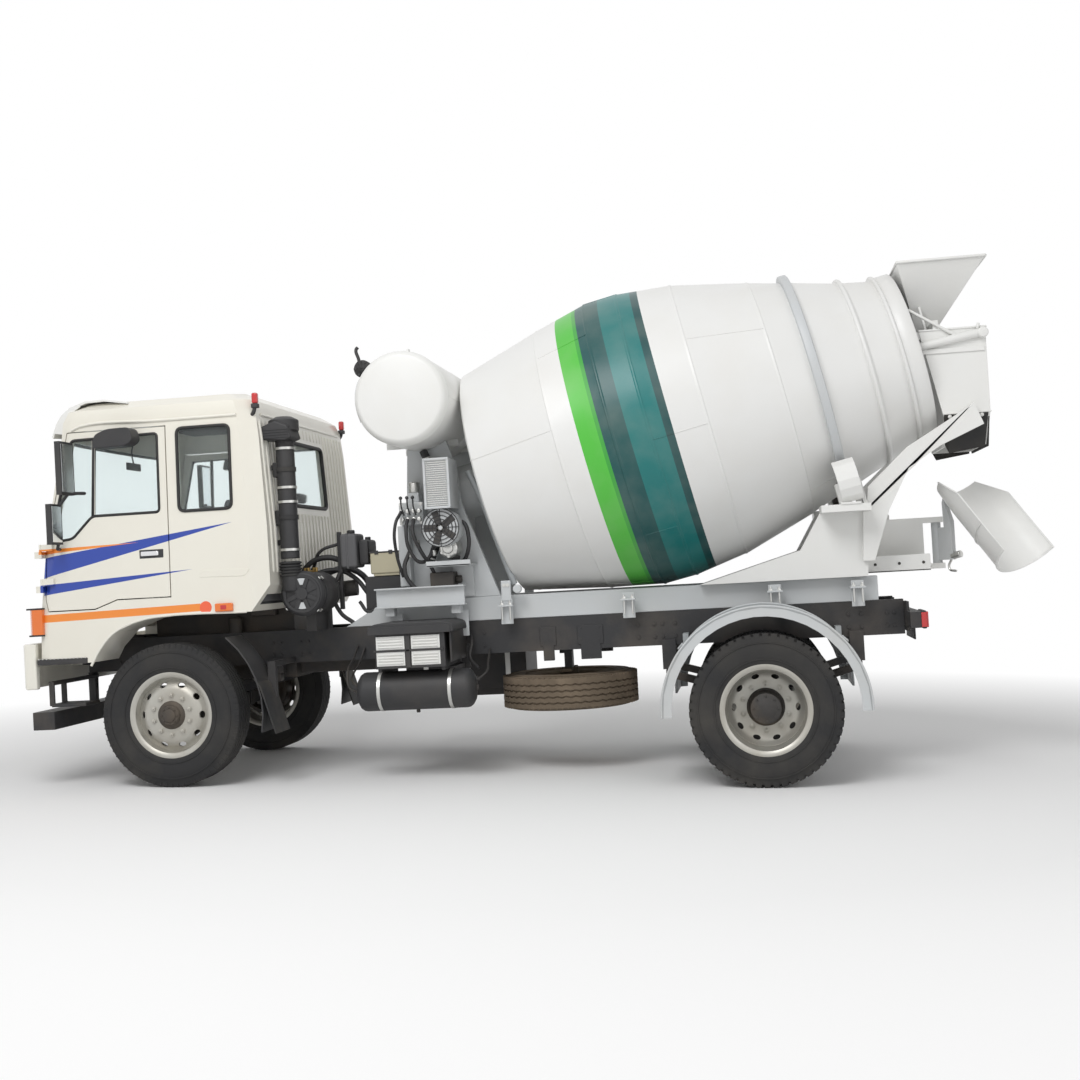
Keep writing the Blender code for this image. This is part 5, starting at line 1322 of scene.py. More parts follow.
for sign in (-1.0, 1.0):
    outer = sign * 0.430
    for y in (-0.680, 0.560, 0.620, 0.780, 0.840, 2.060, 2.200, 2.640, 2.700, 2.930, 3.060, 3.350, 3.470, 3.530, 3.620, 4.860, 4.950, 5.130, 5.180):
        for z in (0.880, 0.972):
            rail_bolts.append(bolt((outer, y, z), (sign, 0, 0), 0.012, 0.010))
placed("rail_bolts", "root", chassis_black, rail_bolts)
rail_plates = []
for sign in (-1.0, 1.0):
    outer = (sign * 0.428, sign * 0.438)
    for y in ((2.620, 2.740), (2.900, 3.090)):
        rail_plates.append(bar("hanger_plate", sorted(outer), y, (0.850, 0.990), 0.003))
        rail_plates.append(bar("hanger_arm", sorted((sign * 0.405, sign * 0.4375)), (y[0] + 0.02, y[1] - 0.02), (0.740, 0.860), 0.004))
placed("carrier_hangers", "root", chassis_black, rail_plates)
print("beam, clamps and bolts finished")
# %% [markdown]
# ## Behind the cab
# The air cleaner lies across the chassis with its end cap outwards, a rubber
# bellows joins it to the snorkel on the cab, and a hood caps the snorkel.
# Small tanks and hoses crowd round the engine.

# %% Air cleaner and snorkel
CLEANER = (0.900, 0.965, 1.340)
shell_profile = [(0.000, 0.0), (0.000, 0.140), (-0.004, 0.150), (-0.012, 0.152), (-0.016, 0.158), (-0.024, 0.160), (-0.028, 0.1655),
                 (-0.044, 0.1655), (-0.048, 0.158), (-0.090, 0.156), (-0.094, 0.162), (-0.104, 0.162), (-0.108, 0.153),
                 (-0.380, 0.152), (-0.384, 0.157), (-0.396, 0.157), (-0.400, 0.152), (-0.476, 0.148), (-0.492, 0.120), (-0.500, 0.076),
                 (-0.640, 0.075), (-0.640, 0.0)]
body_can = spun("cleaner_can", [(-0.0 + s, r) for s, r in shell_profile], CLEANER, (1, 0, 0), 64)
bracket = [bar("saddle", (0.360, 0.428), (0.900, 1.020), (1.058, 1.330), 0.004), bar("saddle_outer", (0.428, 0.700), (0.922, 0.998), (1.058, 1.235), 0.004),
           sausage("riser", (0.860, 0.880, 1.365), (0.860, 0.880, 1.556), 0.070, 0.05)]
can = placed("air_cleaner_can", "root", black_plastic, [body_can] + bracket, shade=42)
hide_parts("air_cleaner")
cap_parts = [spun("cap_ring", [(0.000, 0.118), (0.000, 0.140), (0.008, 0.138), (0.008, 0.120)], CLEANER, (1, 0, 0), 64, True),
             spun("cap_hub", [(0.000, 0.0), (0.000, 0.050), (0.014, 0.044), (0.016, 0.0)], CLEANER, (1, 0, 0), 32),
             around("spokes", bar("spoke", (0.899, 0.908), (0.950, 0.980), (1.382, 1.464), 0.003), CLEANER, (1, 0, 0), 8, 22.5)]
placed("cleaner_cap_face", "root", black_plastic, cap_parts, shade=40)
plates = []
for turn in (0.0, 180.0):
    plate = pushed("pale_sector", [(0.965 + r * math.sin(math.radians(a)), 1.340 + r * math.cos(math.radians(a)))
                                   for r, sweep in ((0.112, range(-28, 29, 7)), (0.064, range(24, -25, -8))) for a in sweep], "X", 0.9012, 0.9045)
    plates.append(turned(plate, CLEANER, (1, 0, 0), turn))
placed("cleaner_cap_plates", "root", frame_grey, plates)
clasps = around("clasp", joined("clasp", [bar("clasp", (0.800, 0.880), (0.955, 0.975), (1.504, 1.512), 0.002),
                                          bar("hook", (0.800, 0.812), (0.952, 0.978), (1.498, 1.514), 0.002)]), CLEANER, (1, 0, 0), 4, 40)
placed("cleaner_clasps", "root", zinc, [clasps])

bellows_profile = [(0.0, 0.060)]
for k in range(5):
    z = 0.006 + 0.022 * k
    bellows_profile += [(z, 0.064), (z + 0.005, 0.078), (z + 0.011, 0.082), (z + 0.017, 0.078)]
bellows_profile += [(0.118, 0.062), (0.118, 0.056), (0.0, 0.056)]
bellows = spun("bellows", bellows_profile, (0.860, 0.880, 1.462), (0, 0, 1), 40, True)
placed("intake_bellows", "root", flap_rubber, [bellows], shade=70)
elbow = tube("outlet", [(0.290, 0.965, 1.340), (0.255, 0.975, 1.340), (0.215, 1.050, 1.350), (0.205, 1.180, 1.360)], 0.062, 20)
placed("cleaner_outlet", "root", flap_rubber, [elbow], shade=60)
band = [spun("band", [(-0.009, 0.0700), (-0.009, 0.0755), (0.009, 0.0755), (0.009, 0.0700)], (0.860, 0.880, z), (0, 0, 1), 40, True)
        for z in (1.664, 2.013, 2.118, 2.403)]
placed("snorkel_bands", "cab", zinc, band, shade=40)
hood = pushed("hood", [(0.700, 2.470), (0.690, 2.545), (0.870, 2.602), (0.965, 2.562), (0.990, 2.470), (0.940, 2.452)], "X", 0.800, 0.985)
for vertex in hood.data.vertices:
    if vertex.co.x > 0.9:
        vertex.co.y += 0.02 * (1 if vertex.co.y < 0.8 else -1)
broken_edges(hood, 0.014, segments=3)
mouth = [bar("louvre", (0.984, 0.990), (0.735, 0.955), (2.475 + 0.019 * k, 2.481 + 0.019 * k), 0.001) for k in range(4)]
placed("snorkel_hood", "cab", black_plastic, [hood] + mouth)
clamps = []
for z in (1.900, 2.250):
    clamps.append(bar("clamp_block", (0.815, 0.905), (0.790, 0.835), (z - 0.055, z + 0.055), 0.010))
    clamps.append(spun("clamp_strap", [(-0.016, 0.070), (-0.016, 0.0745), (0.016, 0.0745), (0.016, 0.070)], (0.860, 0.880, z), (0, 0, 1), 40, True))
placed("snorkel_clamps", "cab", flap_rubber, clamps)
print("air intake finished")

# %% Small tanks and hoses behind the cab
tanks = [bar("header", (0.180, 0.420), (1.120, 1.250), (1.510, 1.770), 0.022), bar("strap", (0.176, 0.424), (1.170, 1.186), (1.506, 1.774), 0.004)]
placed("coolant_header", "root", trim_grey, tanks)
black = [bar("second", (0.150, 0.400), (1.262, 1.338), (1.530, 1.720), 0.026), bar("post", (0.330, 0.370), (1.085, 1.115), (1.200, 1.790), 0.005),
         sausage("lid", (0.300, 1.180, 1.768), (0.300, 1.180, 1.800), 0.030), sausage("lid", (0.260, 1.300, 1.716), (0.260, 1.300, 1.742), 0.022)]
placed("second_reservoir", "root", black_plastic, black, shade=35)
case = [bar("case", (0.120, 0.420), (1.352, 1.584), (1.452, 1.622), 0.014), bar("case_step", (0.130, 0.410), (1.372, 1.584), (1.436, 1.456), 0.006)]
placed("beige_case", "root", beige, case)
rim_bits = [bar("rim", (0.116, 0.4235), (1.348, 1.588), (1.610, 1.622), 0.003)] + [bar("catch", (0.418, 0.427), (y, y + 0.030), (1.600, 1.630), 0.003) for y in (1.390, 1.500)]
rim_bits += [bar("edge", (0.118, 0.4225), (1.575, 1.588), (1.440, 1.622), 0.003), bar("stand", (0.150, 0.400), (1.300, 1.590), (1.120, 1.436), 0.006)]
placed("case_edges", "root", black_plastic, rim_bits)
tangle = [tube("pipe", [(0.340, 0.760, 1.400), (0.360, 0.860, 1.560), (0.340, 1.000, 1.600), (0.300, 1.120, 1.560)], 0.022),
          tube("pipe", [(0.300, 0.700, 1.380), (0.330, 0.900, 1.480), (0.300, 1.060, 1.500), (0.280, 1.180, 1.440), (0.300, 1.300, 1.300)], 0.018),
          tube("pipe", [(0.240, 0.720, 1.380), (0.290, 0.860, 1.520), (0.360, 0.950, 1.650), (0.330, 1.090, 1.700)], 0.013),
          tube("pipe", [(0.380, 1.100, 1.480), (0.400, 1.050, 1.330), (0.420, 1.100, 1.180), (0.400, 1.200, 1.090)], 0.016),
          tube("pipe", [(-0.200, 0.700, 1.350), (-0.260, 0.850, 1.500), (-0.300, 1.050, 1.480), (-0.320, 1.200, 1.200)], 0.025),
          tube("loop", [(0.400, 1.250, 1.250), (0.420, 1.330, 1.170), (0.400, 1.420, 1.230), (0.390, 1.500, 1.150)], 0.014)]
placed("engine_hoses", "root", black_plastic, tangle, shade=60)
engine = [bar("cover", (-0.180, 0.180), (-0.380, 0.600), (1.415, 1.440), 0.010), bar("compressor", (0.310, 0.400), (0.380, 0.580), (1.180, 1.380), 0.015),
          bar("turbo", (0.240, 0.360), (0.700, 0.800), (1.250, 1.420), 0.020), sausage("filter", (0.370, 0.250, 0.980), (0.370, 0.250, 1.180), 0.055)]
engine += [sausage("brass", (x, y, 1.400), (x, y, 1.452), 0.018) for x in (0.20, 0.26, 0.32) for y in (0.720, 0.780)]
engine += [bolt((x, y, 1.440), (0, 0, 1), 0.012, 0.012) for x in (-0.15, 0.15) for y in (-0.3, -0.1, 0.1, 0.3, 0.5)]
placed("engine_dressing", "root", cast, engine, shade=40)
brass = worked("dull brass", (0.40, 0.27, 0.10), (0.28, 0.22, 0.14), 0.45, 0.8, dusty=0.4, bump=0.03)
fittings = [sausage("brass", (x, 0.800 + 0.03 * k, 1.470), (x, 0.800 + 0.03 * k, 1.530), 0.012) for k, x in enumerate((0.34, 0.38, 0.40, 0.36, 0.39))]
fittings += [sausage("tee", (0.330, 0.880, 1.500), (0.420, 0.880, 1.500), 0.010)]
placed("brass_unions", "root", brass, fittings, shade=40)
print("tanks and hoses behind the cab finished")

# %% [markdown]
# ## Boxes and tanks on the rails
# The battery box has a moulded lid and four pale louvred panels; the air tank
# below it hangs on straps. The fuel tank on the far side gets a cap and bands.

# %% Battery box, air tank and fuel tank
louvres = []
for y0, y1 in ((1.520, 1.728), (1.776, 1.985)):
    for z0, z1 in ((0.905, 1.000), (0.790, 0.890)):
        louvres.append(bar("panel", (0.978, 0.984), (y0, y1), (z0, z1), 0.002))
        for k in range(4):
            z = z0 + 0.014 + 0.0205 * k
            rib = pushed("rib", [(0.983, z), (0.996, z + 0.003), (0.983, z + 0.014)], "Y", y0 + 0.012, y1 - 0.012)
            louvres.append(rib)
placed("battery_panels", "root", mixer_white, louvres)
cover = pushed("lid", [(y, z) for y, z in rounded(((1.455, 1.015), (1.470, 1.075), (1.530, 1.095), (2.020, 1.095), (2.085, 1.075), (2.095, 1.015)), 0.020, 4)],
               "X", 0.470, 1.004)
broken_edges(cover, 0.016, segments=3)
side_bits = [bar("divider", (0.975, 0.992), (1.735, 1.769), (0.775, 1.005), 0.003), bar("band", (0.975, 0.992), (1.500, 2.010), (0.889, 0.905), 0.003),
             bar("foot", (0.460, 0.960), (1.520, 1.545), (0.745, 0.772), 0.003), bar("foot", (0.460, 0.960), (1.985, 2.010), (0.745, 0.772), 0.003)]
placed("battery_lid", "root", black_plastic, [cover] + side_bits)
side_arm = [bar("arm", (0.430, 0.960), (2.050, 2.066), (0.800, 1.015), 0.003), tube("cable", [(0.440, 2.100, 0.980), (0.520, 2.120, 0.900), (0.560, 2.110, 0.800), (0.600, 2.180, 0.720)], 0.012)]
placed("battery_side_arm", "root", chassis_black, side_arm, shade=40)
bands = [spun("band", [(-0.012, 0.1420), (-0.012, 0.1445), (0.012, 0.1445), (0.012, 0.1420)], (0.800, y, 0.600), (0, 1, 0), 56, True) for y in (1.505, 2.025)]
placed("air_tank_bands", "root", zinc, bands, shade=40)
tank_profile = [(0.0, 0.0), (0.003, 0.050), (0.014, 0.094), (0.032, 0.124), (0.052, 0.138), (0.070, 0.1415), (0.810, 0.1415), (0.828, 0.138),
                (0.848, 0.124), (0.866, 0.094), (0.877, 0.050), (0.880, 0.0)]
tank_bits = [bolt((0.800, 1.320, 0.600), (0, -1, 0), 0.020, 0.014), bolt((0.800, 2.200, 0.600), (0, 1, 0), 0.020, 0.014),
             sausage("drain", (0.800, 1.760, 0.462), (0.800, 1.760, 0.436), 0.014), bolt((0.800, 2.204, 0.660), (0, 1, 0), 0.014, 0.018)]
tank_bits += [tube("pipe", [(0.800, 1.316, 0.640), (0.770, 1.270, 0.680), (0.680, 1.250, 0.720), (0.520, 1.260, 0.800), (0.440, 1.280, 0.900)], 0.008, 8),
              tube("pipe", [(0.800, 1.316, 0.600), (0.810, 1.262, 0.630), (0.760, 1.235, 0.740), (0.560, 1.230, 0.840), (0.440, 1.230, 0.920)], 0.008, 8),
              tube("pipe", [(0.800, 2.215, 0.660), (0.740, 2.260, 0.700), (0.600, 2.250, 0.760), (0.445, 2.240, 0.850)], 0.008, 8)]
placed("air_tank_fittings", "root", cast, tank_bits, shade=50)
air_shell = spun("air_tank_shell", tank_profile, (0.800, 1.320, 0.600), (0, 1, 0), 56)
straps = [bar("strap", (0.430, 0.800), (y, y + 0.050), (0.700, 0.760), 0.004) for y in (1.480, 2.000)]
straps += [bar("riser", (0.430, 0.460), (y, y + 0.050), (0.750, 0.900), 0.004) for y in (1.440, 2.040)]
straps += [bar("tie", (0.430, 0.460), y, (0.715, 0.760), 0.004) for y in ((1.440, 1.530), (2.000, 2.090))]
air_whole = placed("air_tank_shell", "root", black_plastic, [air_shell] + straps, shade=50)
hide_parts("air_tank")
fuel_bits = [sausage("fuel_cap", (-0.790, 1.500, 0.936), (-0.790, 1.500, 0.972), 0.055)]
placed("fuel_cap", "root", zinc, fuel_bits, shade=40)
hoops = []
for y in (1.500, 1.850, 2.180):
    ring = [(-1.084, 0.478), (-1.084, 0.882), (-1.022, 0.944), (-0.558, 0.944), (-0.496, 0.882), (-0.496, 0.478), (-0.558, 0.416), (-1.022, 0.416)]
    inner = [(-1.078, 0.482), (-1.078, 0.878), (-1.018, 0.938), (-0.562, 0.938), (-0.502, 0.878), (-0.502, 0.482), (-0.562, 0.422), (-1.018, 0.422)]
    for i in range(8):
        j = (i + 1) % 8
        hoops.append(pushed("hoop", [ring[i], ring[j], inner[j], inner[i]], "Y", y, y + 0.040))
placed("fuel_tank_bands", "root", zinc, hoops)
print("boxes and tanks finished")
# %% [markdown]
# ## Rear end
# The collector gets rolled rims and a rubber skirt, a round tube arm holds its
# top, guard plates hide the drum's rollers, and the chute hangs on a jack.

# %% Collector, hopper and chute trim
trim_parts = []
for sign in (-1.0, 1.0):
    trim_parts.append(sausage("arm", (sign * 0.512, 5.430, 2.830), (sign * 0.512, 5.905, 2.912), 0.030, 0.1))
    trim_parts.append(sausage("arm_end", (sign * 0.478, 5.895, 2.905), (sign * 0.548, 5.895, 2.905), 0.038))
    trim_parts.append(sausage("brace", (sign * 0.505, 5.398, 3.105), (sign * 0.512, 5.702, 2.905), 0.011, 0.1))
    trim_parts.append(bar("pad", sorted((sign * 0.494, sign * 0.506)), (5.480, 5.905), (2.780, 2.815), 0.003))
    trim_parts.append(sausage("stub", (sign * 0.512, 5.860, 2.935), (sign * 0.512, 5.872, 2.975), 0.011))
    trim_parts += [bolt((sign * 0.495, y, 2.330), (sign, 0, 0), 0.010, 0.009) for y in (5.640, 5.740, 5.860)]
trim_parts.append(sausage("cross", (-0.512, 5.895, 2.905), (0.512, 5.895, 2.905), 0.020, 0.1))
for z, half, front, back in ((2.950, 0.495, 5.460, 5.922), (2.352, 0.497, 5.596, 5.922)):
    corners = [(half, front, z), (half, back, z), (-half, back, z), (-half, front, z)]
    run = corners if z < 2.5 else corners
    for near, far in zip(run, run[1:]):
        trim_parts.append(sausage("rolled", near, far, 0.008 if z > 2.5 else 0.005, 0.5))
placed("collector_trim", "root", mixer_white, trim_parts, shade=45)
rim_points = [(0.456, 5.346, 3.459), (0.456, 5.958, 3.459), (-0.456, 5.958, 3.459), (-0.456, 5.346, 3.459)]
hopper_rim = [sausage("rim", near, far, 0.010, 0.6) for near, far in zip(rim_points, rim_points[1:] + rim_points[:1])]
hopper_rim += [sausage("stay", (sign * 0.300, 5.500, 3.150), (sign * 0.430, 5.520, 2.960), 0.010, 0.2) for sign in (-1, 1)]
placed("hopper_rim", "root", mixer_white, hopper_rim, shade=45)
skirt = []
for sign in (-1.0, 1.0):
    side = pushed("skirt", [(5.600, 2.345), (5.612, 2.140), (5.640, 2.080), (5.888, 2.115), (5.905, 2.345)], "X", *sorted((sign * 0.4845, sign * 0.4935)))
    for vertex in side.data.vertices:
        if vertex.co.z < 2.3:
            vertex.co.x -= sign * (0.128 if vertex.co.z < 2.2 else 0.0)
    skirt.append(side)
back = pushed("skirt_back", [(-0.490, 2.345), (-0.365, 2.115), (0.365, 2.115), (0.490, 2.345)], "Y", 5.905, 5.914)
skirt.append(back)
placed("rubber_skirt", "root", flap_rubber, skirt)
lip = []
heading, dip = math.radians(45.0), math.radians(50.0)
ahead = Vector((math.sin(heading), math.cos(heading), 0.0))
across = Vector((ahead.y, -ahead.x, 0.0))
down = ahead * math.cos(dip) - Vector((0.0, 0.0, math.sin(dip)))
open_side = ahead * math.sin(dip) + Vector((0.0, 0.0, math.cos(dip)))
hinge = Vector((0.0, 5.560, 1.790)) + ahead * 0.100


def on_chute(t, radius, angle, out=0.0):
    """A point of the chute's skin: along it, at an angle of its round section."""
    a = math.radians(angle)
    middle = hinge + down * t + open_side * (radius + 0.006)
    return tuple(middle + (across * math.cos(a) + open_side * math.sin(a)) * (radius + out))


edge_run = [on_chute(0.750, 0.291, 190 + 10 * k) for k in range(17)]
lip.append(tube("chute_rim", edge_run, 0.008, 10))
for angle, head_angle in ((190, 205), (350, 335)):
    lip.append(tube("chute_rim", [on_chute(0.0, 0.231, head_angle), on_chute(0.220, 0.296, angle), on_chute(0.745, 0.292, angle)], 0.007, 10, smooth=False))
lip.append(tube("chute_band", [on_chute(0.500, 0.300, 190 + 10 * k, 0.003) for k in range(17)], 0.004, 8))
placed("chute_rims", "chute", mixer_white, lip, shade=50)
placed("chute_jack", "chute_swivel", zinc, [sausage("sleeve", tuple(Vector((0.0, 5.560, 1.345)) + ahead * 0.130),
                   tuple(Vector((0.0, 5.560, 1.345)) + ahead * 0.210 + Vector((0, 0, 0.015))), 0.026, 0.2),
                   tube("crank", [tuple(Vector((0.0, 5.560, 1.335)) + ahead * 0.130), tuple(Vector((0.0, 5.560, 1.255)) + ahead * 0.100),
                                  tuple(Vector((0.0, 5.560, 1.235)) + ahead * 0.160)], 0.009, 8)], shade=45)
print("collector, hopper and chute trimmed")

# %% [markdown]
# ## Roller guards, rear boxes, lamps and mudguards

# %% Roller guards and boxes
track_along = Vector((0.0, math.cos(DRUM_TILT), math.sin(DRUM_TILT)))
track_up = Vector((0.0, -math.sin(DRUM_TILT), math.cos(DRUM_TILT)))
track_middle = Vector((0.0, 2.180, 2.083)) + track_along * 2.610
guards = []
for sign in (-1.0, 1.0):
    low = math.radians(50.0)
    reach = 0.875 + 0.120
    roller = track_middle + Vector((sign * reach * math.cos(low), 0.0, 0.0)) - track_up * (reach * math.sin(low))
    for k in range(6):
        a0, a1 = (math.radians(-60.0 + 20.8 * (k + j)) for j in (0, 1))
        corners = []
        for a, r in ((a0, 0.160), (a1, 0.160), (a1, 0.168), (a0, 0.168)):
            corners.append(roller + Vector((sign * math.cos(a) * r, 0.0, 0.0)) + track_up * (math.sin(a) * r))
        plate = drawn_line("guard", [tuple(c - track_along * 0.075) for c in corners])
        bpy.ops.mesh.select_all(action="SELECT")
        bpy.ops.mesh.edge_face_add()
        bpy.ops.mesh.extrude_region_move(TRANSFORM_OT_translate={"value": track_along * 0.150})
        guards.append(close_up(plate))
    guards.append(bar("guard_foot", sorted((sign * (abs(roller.x) + 0.060), sign * (abs(roller.x) + 0.150))), (roller.y - 0.060, roller.y + 0.080),
                      (roller.z - 0.165, roller.z - 0.150), 0.003))
for sign in (-1.0, 1.0):
    web = pushed("brace_web", [(5.020, 1.690), (5.040, 1.870), (5.329, 2.135), (5.770, 2.392), (5.790, 2.395), (5.410, 2.035)], "X",
                 *sorted((sign * 0.4953, sign * 0.560)))
    guards.append(broken_edges(web, 0.006))
placed("roller_guards", "root", mixer_white, guards, shade=30)
boxes = [bar("tool_box", (-0.560, -0.420), (5.105, 5.270), (1.400, 1.690), 0.010), bar("box_door", (-0.428, -0.414), (5.120, 5.255), (1.412, 1.678), 0.004)]
for sign in (-1.0, 1.0):
    boxes.append(bar("end_plate", sorted((sign * 0.300, sign * 0.312)), (5.020, 5.470), (1.256, 1.375), 0.003))
boxes.append(bar("ledge", (-0.312, 0.312), (5.020, 5.470), (1.256, 1.268), 0.003))
placed("rear_boxes", "root", mixer_white, boxes)
box_bolts = [bolt((-0.414, 5.240, z), (1, 0, 0), 0.008, 0.008) for z in (1.43, 1.55, 1.66)]
box_bolts += [bolt((0.312, y, 1.315), (1, 0, 0), 0.008, 0.008) for y in (5.08, 5.25, 5.42)]
placed("rear_box_bolts", "root", cast, box_bolts)
print("roller guards and rear boxes finished")

# %% Rear lamps and mudguard lips
lamp_bits, lenses, brackets = [], [], []
for sign in (-1.0, 1.0):
    x = sorted((sign * 0.600, sign * 0.868))
    lamp_bits.append(bar("lamp_body", x, (5.325, 5.352), (0.868, 0.992), 0.006))
    lenses.append(bar("lens", sorted((sign * 0.606, sign * 0.700)), (5.350, 5.366), (0.876, 0.984), 0.005))
    lenses.append(bar("lens", sorted((sign * 0.790, sign * 0.862)), (5.350, 5.366), (0.876, 0.984), 0.005))
    lenses.append(bar("edge", sorted((sign * 0.868, sign * 0.876)), (5.318, 5.352), (0.880, 0.980), 0.002))
    brackets.append(bar("bracket", sorted((sign * 0.420, sign * 0.600)), (5.250, 5.270), (0.840, 1.050), 0.003))
placed("rear_lamp_bodies", "root", black_plastic, lamp_bits)
placed("rear_lamp_lenses", "root", red_lens, lenses)
middle_lens = [bar("lens", sorted((sign * 0.704, sign * 0.786)), (5.350, 5.366), (0.876, 0.984), 0.005) for sign in (-1.0, 1.0)]
placed("rear_turn_lenses", "root", amber, middle_lens)
placed("rear_lamp_brackets", "root", chassis_black, brackets)
plate_bar = [bar("plate_holder", (-0.270, 0.270), (5.330, 5.340), (0.760, 0.870), 0.003)]
placed("rear_plate_holder", "root", black_plastic, plate_bar)
lips = []
axle_y, axle_z = 4.240 * math.cos(RAKE), AXLE_HEIGHT - 4.240 * math.sin(RAKE)
for sign in (-1.0, 1.0):
    for x in (0.612, 1.198):
        lips.append(tube("lip", [(sign * x, axle_y + 0.701 * math.cos(math.radians(a)), axle_z + 0.701 * math.sin(math.radians(a)))
                                 for a in range(-2, 183, 8)], 0.007, 8))
    for a in (38.0, 142.0):
        y = axle_y + 0.690 * math.cos(math.radians(a))
        z = axle_z + 0.690 * math.sin(math.radians(a))
        lips += [bolt((sign * (0.700 + 0.2 * k), y + (0.016 if a < 90 else -0.016), z + 0.016), (0, math.cos(math.radians(a)), math.sin(math.radians(a))), 0.011, 0.009)
                 for k in range(3)]
    rim_of = [(axle_y + r * math.cos(math.radians(a)), axle_z + r * math.sin(math.radians(a)))
              for r, run in ((0.700, range(-2, 183, 8)), (0.632, range(182, -3, -8))) for a in run]
    lips.append(pushed("valance", rim_of, "X", *sorted((sign * 1.190, sign * 1.1985))))
placed("rear_mudguard_lips", "root", frame_grey, lips, shade=50)
front_flaps = []
for sign in (-1.0, 1.0):
    flap = pushed("front_flap", [(0.655, 0.760), (0.700, 0.700), (0.800, 0.360), (0.790, 0.356), (0.688, 0.690), (0.645, 0.756)], "X",
                  *sorted((sign * 0.825, sign * 1.125)))
    front_flaps.append(broken_edges(flap, 0.003))
placed("front_wheel_flaps", "root", flap_rubber, front_flaps)
print("rear lamps and mudguards finished")
# %% [markdown]
# ## Seats
# Each seat is a cushion, a back and a headrest on a base. The pads are blown up
# a little by a short cloth run, so that their faces crown and their sides pull
# in; seams and piping are laid on after that.

# %% Pads by a short cloth run


def pad(name, x, y, z, cap, lean=0.0, pivot=(0.0, 0.0)):
    """A crowned pad between three (low, high) pairs, leaned back about (Y, Z)."""
    inset = 0.010
    box = bar(name, (x[0] + inset, x[1] - inset), (y[0] + inset, y[1] - inset), (z[0] + inset, z[1] - inset), 0.020)
    apply_step(box, "REMESH", mode="VOXEL", voxel_size=0.006)
    before = [v.co.copy() for v in box.data.vertices]
    deselect()
    box.select_set(True)
    bpy.context.view_layer.objects.active = box
    bpy.ops.object.modifier_add(type="CLOTH")
    swell = box.modifiers[-1]
    swell.settings.use_pressure = True
    swell.settings.uniform_pressure_force = 4.0
    swell.settings.effector_weights.gravity = 0.0
    swell.settings.quality = 4
    for frame_number in range(1, 21):
        bpy.context.scene.frame_set(frame_number)
    bpy.ops.object.modifier_apply(modifier=swell.name)
    bpy.context.scene.frame_set(1)
    for vertex, old in zip(box.data.vertices, before):
        move = vertex.co - old
        if move.length > cap:
            vertex.co = old + move * (cap / move.length)
    apply_step(box, "SMOOTH", factor=0.5, iterations=6)
    apply_step(box, "SUBSURF", levels=1, render_levels=1)
    deselect()
    box.select_set(True)
    bpy.context.view_layer.objects.active = box
    bpy.ops.object.shade_smooth()
    if lean:
        turned(box, (0.0, pivot[0], pivot[1]), (1.0, 0.0, 0.0), -lean)
    return box


def quilted(name):
    """Seat cloth whose faces carry sewn channels and a fine weave."""
    made = worked(name, (0.105, 0.105, 0.115), (0.20, 0.19, 0.18), 0.95, dusty=0.15, bump=0.06, fine=420.0)
    tree = made.node_tree
    place = next(n for n in tree.nodes if n.type == "TEX_COORD")
    shader = tree.nodes["Principled BSDF"]
    relief = next(n for n in tree.nodes if n.type == "BUMP")
    split = tree.nodes.new("ShaderNodeSeparateXYZ")
    tree.links.new(place.outputs["Object"], split.inputs[0])
    wave = tree.nodes.new("ShaderNodeMath")
    wave.operation = "MULTIPLY"
    wave.inputs[1].default_value = math.pi / 0.064
    tree.links.new(split.outputs["X"], wave.inputs[0])
    ridge = tree.nodes.new("ShaderNodeMath")
    ridge.operation = "SINE"
    tree.links.new(wave.outputs[0], ridge.inputs[0])
    tall = tree.nodes.new("ShaderNodeMath")
    tall.operation = "ABSOLUTE"
    tree.links.new(ridge.outputs[0], tall.inputs[0])
    swell = tree.nodes.new("ShaderNodeMath")
    swell.operation = "POWER"
    swell.inputs[1].default_value = 0.4
    tree.links.new(tall.outputs[0], swell.inputs[0])
    channels = tree.nodes.new("ShaderNodeBump")
    channels.inputs["Strength"].default_value = 0.7
    channels.inputs["Distance"].default_value = 0.006
    tree.links.new(swell.outputs[0], channels.inputs["Height"])
    tree.links.new(relief.outputs["Normal"], channels.inputs["Normal"])
    tree.links.new(channels.outputs["Normal"], shader.inputs["Normal"])
    return made


